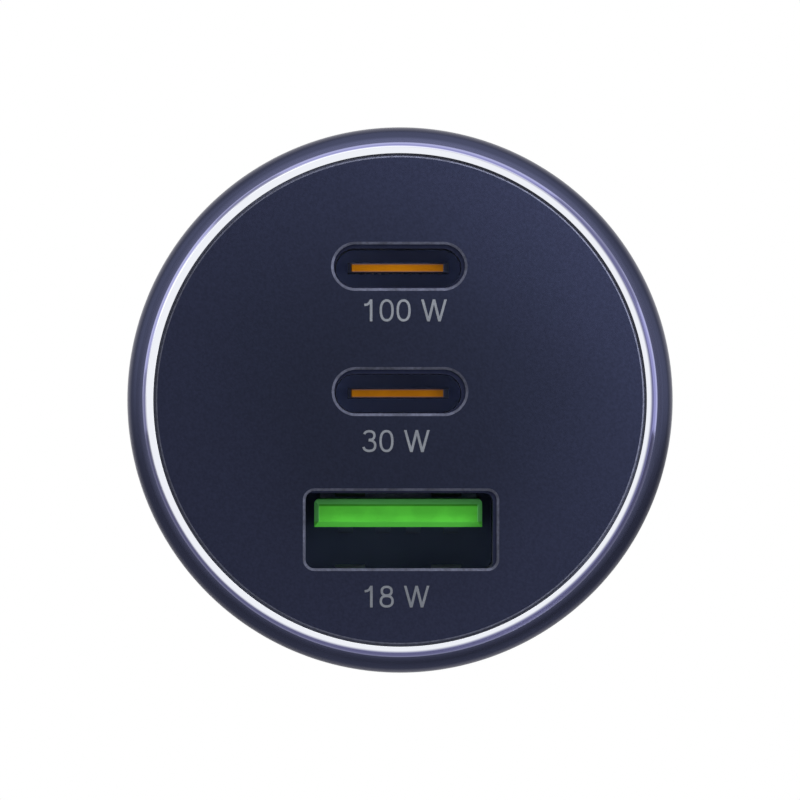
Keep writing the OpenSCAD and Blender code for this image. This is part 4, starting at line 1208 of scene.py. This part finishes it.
# Coil spring between the tip's flange and the spring seat, its wire capped at both ends
spring = {
    "radius": 3.4,
    "wire": 0.25,
    "turns": 4.5,
    "start": 27.0,
    "end": 33.1,
    "travel": 2.5,
    "sides": 10,
    "steps": 32,
    "smoothAngle": 50,
}


def makeSpring():
    wire = spring["wire"] * mm
    start = (spring["start"] + spring["wire"]) * mm
    rise = (spring["end"] - spring["start"] - 2 * spring["wire"]) * mm
    place = (spring["radius"] * mm, start, 0)
    sides = spring["sides"]
    bpy.ops.mesh.primitive_circle_add(vertices=sides, radius=wire, fill_type="NOTHING", location=place)
    piece = bpy.context.object
    applyPlace()
    steps = int(spring["turns"] * spring["steps"])
    applyModifier(piece, "SCREW", {
        "axis": "Y", "angle": 2 * math.pi * spring["turns"], "screw_offset": rise, "iterations": 1,
        "steps": steps, "render_steps": steps, "use_merge_vertices": False,
    })
    editAll()
    bpy.ops.mesh.fill_holes(sides=0)
    normalsOut()
    finishPiece(piece, "tipSpringCoil", "spring_steel", "plug", spring["smoothAngle"], ["tip_spring"])
    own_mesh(piece)


makeSpring()

# Side contacts: a strip bent out of the barrel's window, with a foot inside and a tail
contact = {
    "back": 8.85,
    "thickness": 0.4,
    "width": 4.4,
    "hinge": 2.5,
    "footLength": 5.5,
    "footTab": 2.2,
    "bowLength": 14.0,
    "bowHeight": 2.65,
    "bowPower": 2.6,
    "bowSteps": 40,
    "tailLength": 1.6,
    "tailIn": 0.1,
    "bend": 0.5,
    "edge": 0.08,
    "smoothAngle": 35,
}


def contactPath():
    size = contact
    x = size["back"] - size["thickness"] / 2
    start = size["hinge"] + size["footLength"]
    path = [(x - size["footTab"], size["hinge"])]
    path += arcPath((x - size["bend"], size["hinge"] + size["bend"]), size["bend"], -90, 0, 6)
    for i in range(size["bowSteps"] + 1):
        along = i / size["bowSteps"]
        out = size["bowHeight"] * (1 - abs(2 * along - 1) ** size["bowPower"])
        path.append((x + out, start + size["bowLength"] * along))
    return path + [(x - size["tailIn"], start + size["bowLength"] + size["tailLength"])]


def makeContact(name, body, node, mirrored):
    size = contact
    piece = drawPath(contactPath())
    editAll()
    shift(0, 0, -size["width"] / 2)
    extrude(0, 0, size["width"])
    thickness = size["thickness"] * mm
    applyModifier(piece, "SOLIDIFY", {"thickness": thickness, "offset": 0, "use_even_offset": True})
    applyModifier(piece, "BEVEL", {
        "width": size["edge"] * mm, "segments": 2, "limit_method": "ANGLE", "angle_limit": math.radians(50),
    })
    if mirrored:
        bpy.ops.transform.resize(value=(-1, 1, 1), center_override=(0, 0, 0))
        applyPlace()
    normalsOut()
    finishPiece(piece, name, "nickel", body, size["smoothAngle"], [node])


makeContact("sideContactRight", "contact_right", "ground_contact_right", False)
makeContact("sideContactLeft", "contact_left", "ground_contact_left", True)

# Studio: pale floor, soft lights, a world that is white where it is seen or mirrored
studio = {
    "floorDrop": 0.075,
    "floorRadius": 0.62,
    "floorColour": (0.80, 0.80, 0.81),
    "floorSeen": 2.2,
    "fadeStart": 0.14,
    "fadeEnd": 0.40,
    "worldLight": 0.10,
    "imagePixels": 800,
    "pixelsPerMm": 15.155,
    "cameraDistance": 0.62,
    "sensorWidth": 36,
}
# A lamp's strength of 1 is as bright as the white background
lamps = {
    "topLamp": {"place": (0.04, -0.40, 0.50), "size": 0.90, "strength": 0.85, "mirrored": True},
    "rightLamp": {"place": (0.62, -0.42, -0.02), "size": 0.75, "strength": 0.90, "mirrored": True},
    "leftLamp": {"place": (-0.60, -0.40, 0.28), "size": 0.60, "strength": 0.90, "mirrored": True},
    "frontLamp": {"place": (0.0, -0.84, 0.0), "size": 0.30, "strength": 0.68, "mirrored": False},
    "nearLamp": {"place": (0.037, -0.0545, 0.037), "size": 0.03, "strength": 30.0, "mirrored": False},
    "lowLamp": {"place": (0.058, -0.080, -0.050), "size": 0.03, "strength": 7.0, "mirrored": False},
    "rearLamp": {"place": (-0.22, 0.48, 0.36), "size": 0.60, "strength": 3.4, "mirrored": False},
}


# White where the camera, a mirror-like surface or glass looks at it, and dim as a light
def makeWorld():
    world = bpy.data.worlds.new("studioWorld")
    world.use_nodes = True
    bpy.context.scene.world = world
    world.node_tree.nodes.clear()
    nodes = Nodes(world.node_tree)
    seen = nodes.node("ShaderNodeLightPath", {}, {}, "Is Camera Ray")
    for ray in ("Is Glossy Ray", "Is Transmission Ray"):
        seen = seen.math("MAXIMUM", seen, nodes.node("ShaderNodeLightPath", {}, {}, ray))
    light = nodes.node("ShaderNodeBackground", {}, {"Strength": studio["worldLight"]})
    white = nodes.node("ShaderNodeBackground", {}, {"Color": (1, 1, 1, 1)})
    nodes.end("ShaderNodeOutputWorld", nodes.mixShaders(seen, light, white))


# The floor looks white to the camera, keeps the shadow and fades out. All else sees its own pale colour
def makeFloor():
    radius = studio["floorRadius"]
    place = (0, 0, -studio["floorDrop"])
    bpy.ops.mesh.primitive_circle_add(vertices=96, radius=radius, fill_type="NGON", location=place)
    floor = bpy.context.object
    floor.name = "studioFloor"
    material = bpy.data.materials.new("floorPaper")
    material.use_nodes = True
    material.node_tree.nodes.clear()
    nodes = Nodes(material.node_tree)
    seenColour = [part * studio["floorSeen"] for part in studio["floorColour"]]
    paper = nodes.node("ShaderNodeBsdfDiffuse", {}, {"Color": paint(studio["floorColour"])})
    seenPaper = nodes.node("ShaderNodeBsdfDiffuse", {}, {"Color": paint(seenColour)})
    white = nodes.node("ShaderNodeEmission", {}, {})
    distance = nodes.node("ShaderNodeVectorMath", {"operation": "LENGTH"}, {0: nodes.point()}, "Value")
    fade = nodes.step(distance, studio["fadeStart"], studio["fadeEnd"])
    camera = nodes.node("ShaderNodeLightPath", {}, {}, "Is Camera Ray")
    seen = nodes.mixShaders(fade, seenPaper, white)
    nodes.end("ShaderNodeOutputMaterial", nodes.mixShaders(camera, paper, seen))
    floor.data.materials.append(material)


def makeLamps():
    for name, lamp in lamps.items():
        data = bpy.data.lights.new(name, "AREA")
        data.energy = lamp["strength"] * math.pi ** 2 * (lamp["size"] / 2) ** 2
        data.size = lamp["size"]
        data.shape = "DISK"
        made = bpy.data.objects.new(name, data)
        bpy.context.scene.collection.objects.link(made)
        made.location = lamp["place"]
        made.rotation_euler = made.location.to_track_quat("Z", "Y").to_euler()
        made.visible_camera = False
        made.visible_glossy = lamp["mirrored"]


def makeCamera():
    data = bpy.data.cameras.new("studioCamera")
    camera = bpy.data.objects.new("studioCamera", data)
    bpy.context.scene.collection.objects.link(camera)
    rim = head["front"] * mm
    camera.location = (0, rim - studio["cameraDistance"], 0)
    camera.rotation_euler = (math.pi / 2, 0, 0)
    fieldWidth = studio["imagePixels"] / studio["pixelsPerMm"] * mm
    data.sensor_width = studio["sensorWidth"]
    data.lens = data.sensor_width * (studio["cameraDistance"] + head["rimRounding"] * mm) / fieldWidth
    data.clip_start = 0.01
    bpy.context.scene.camera = camera


makeWorld()
makeFloor()
makeLamps()
makeCamera()
bpy.context.scene.view_settings.view_transform = "Standard"
print("studio set")
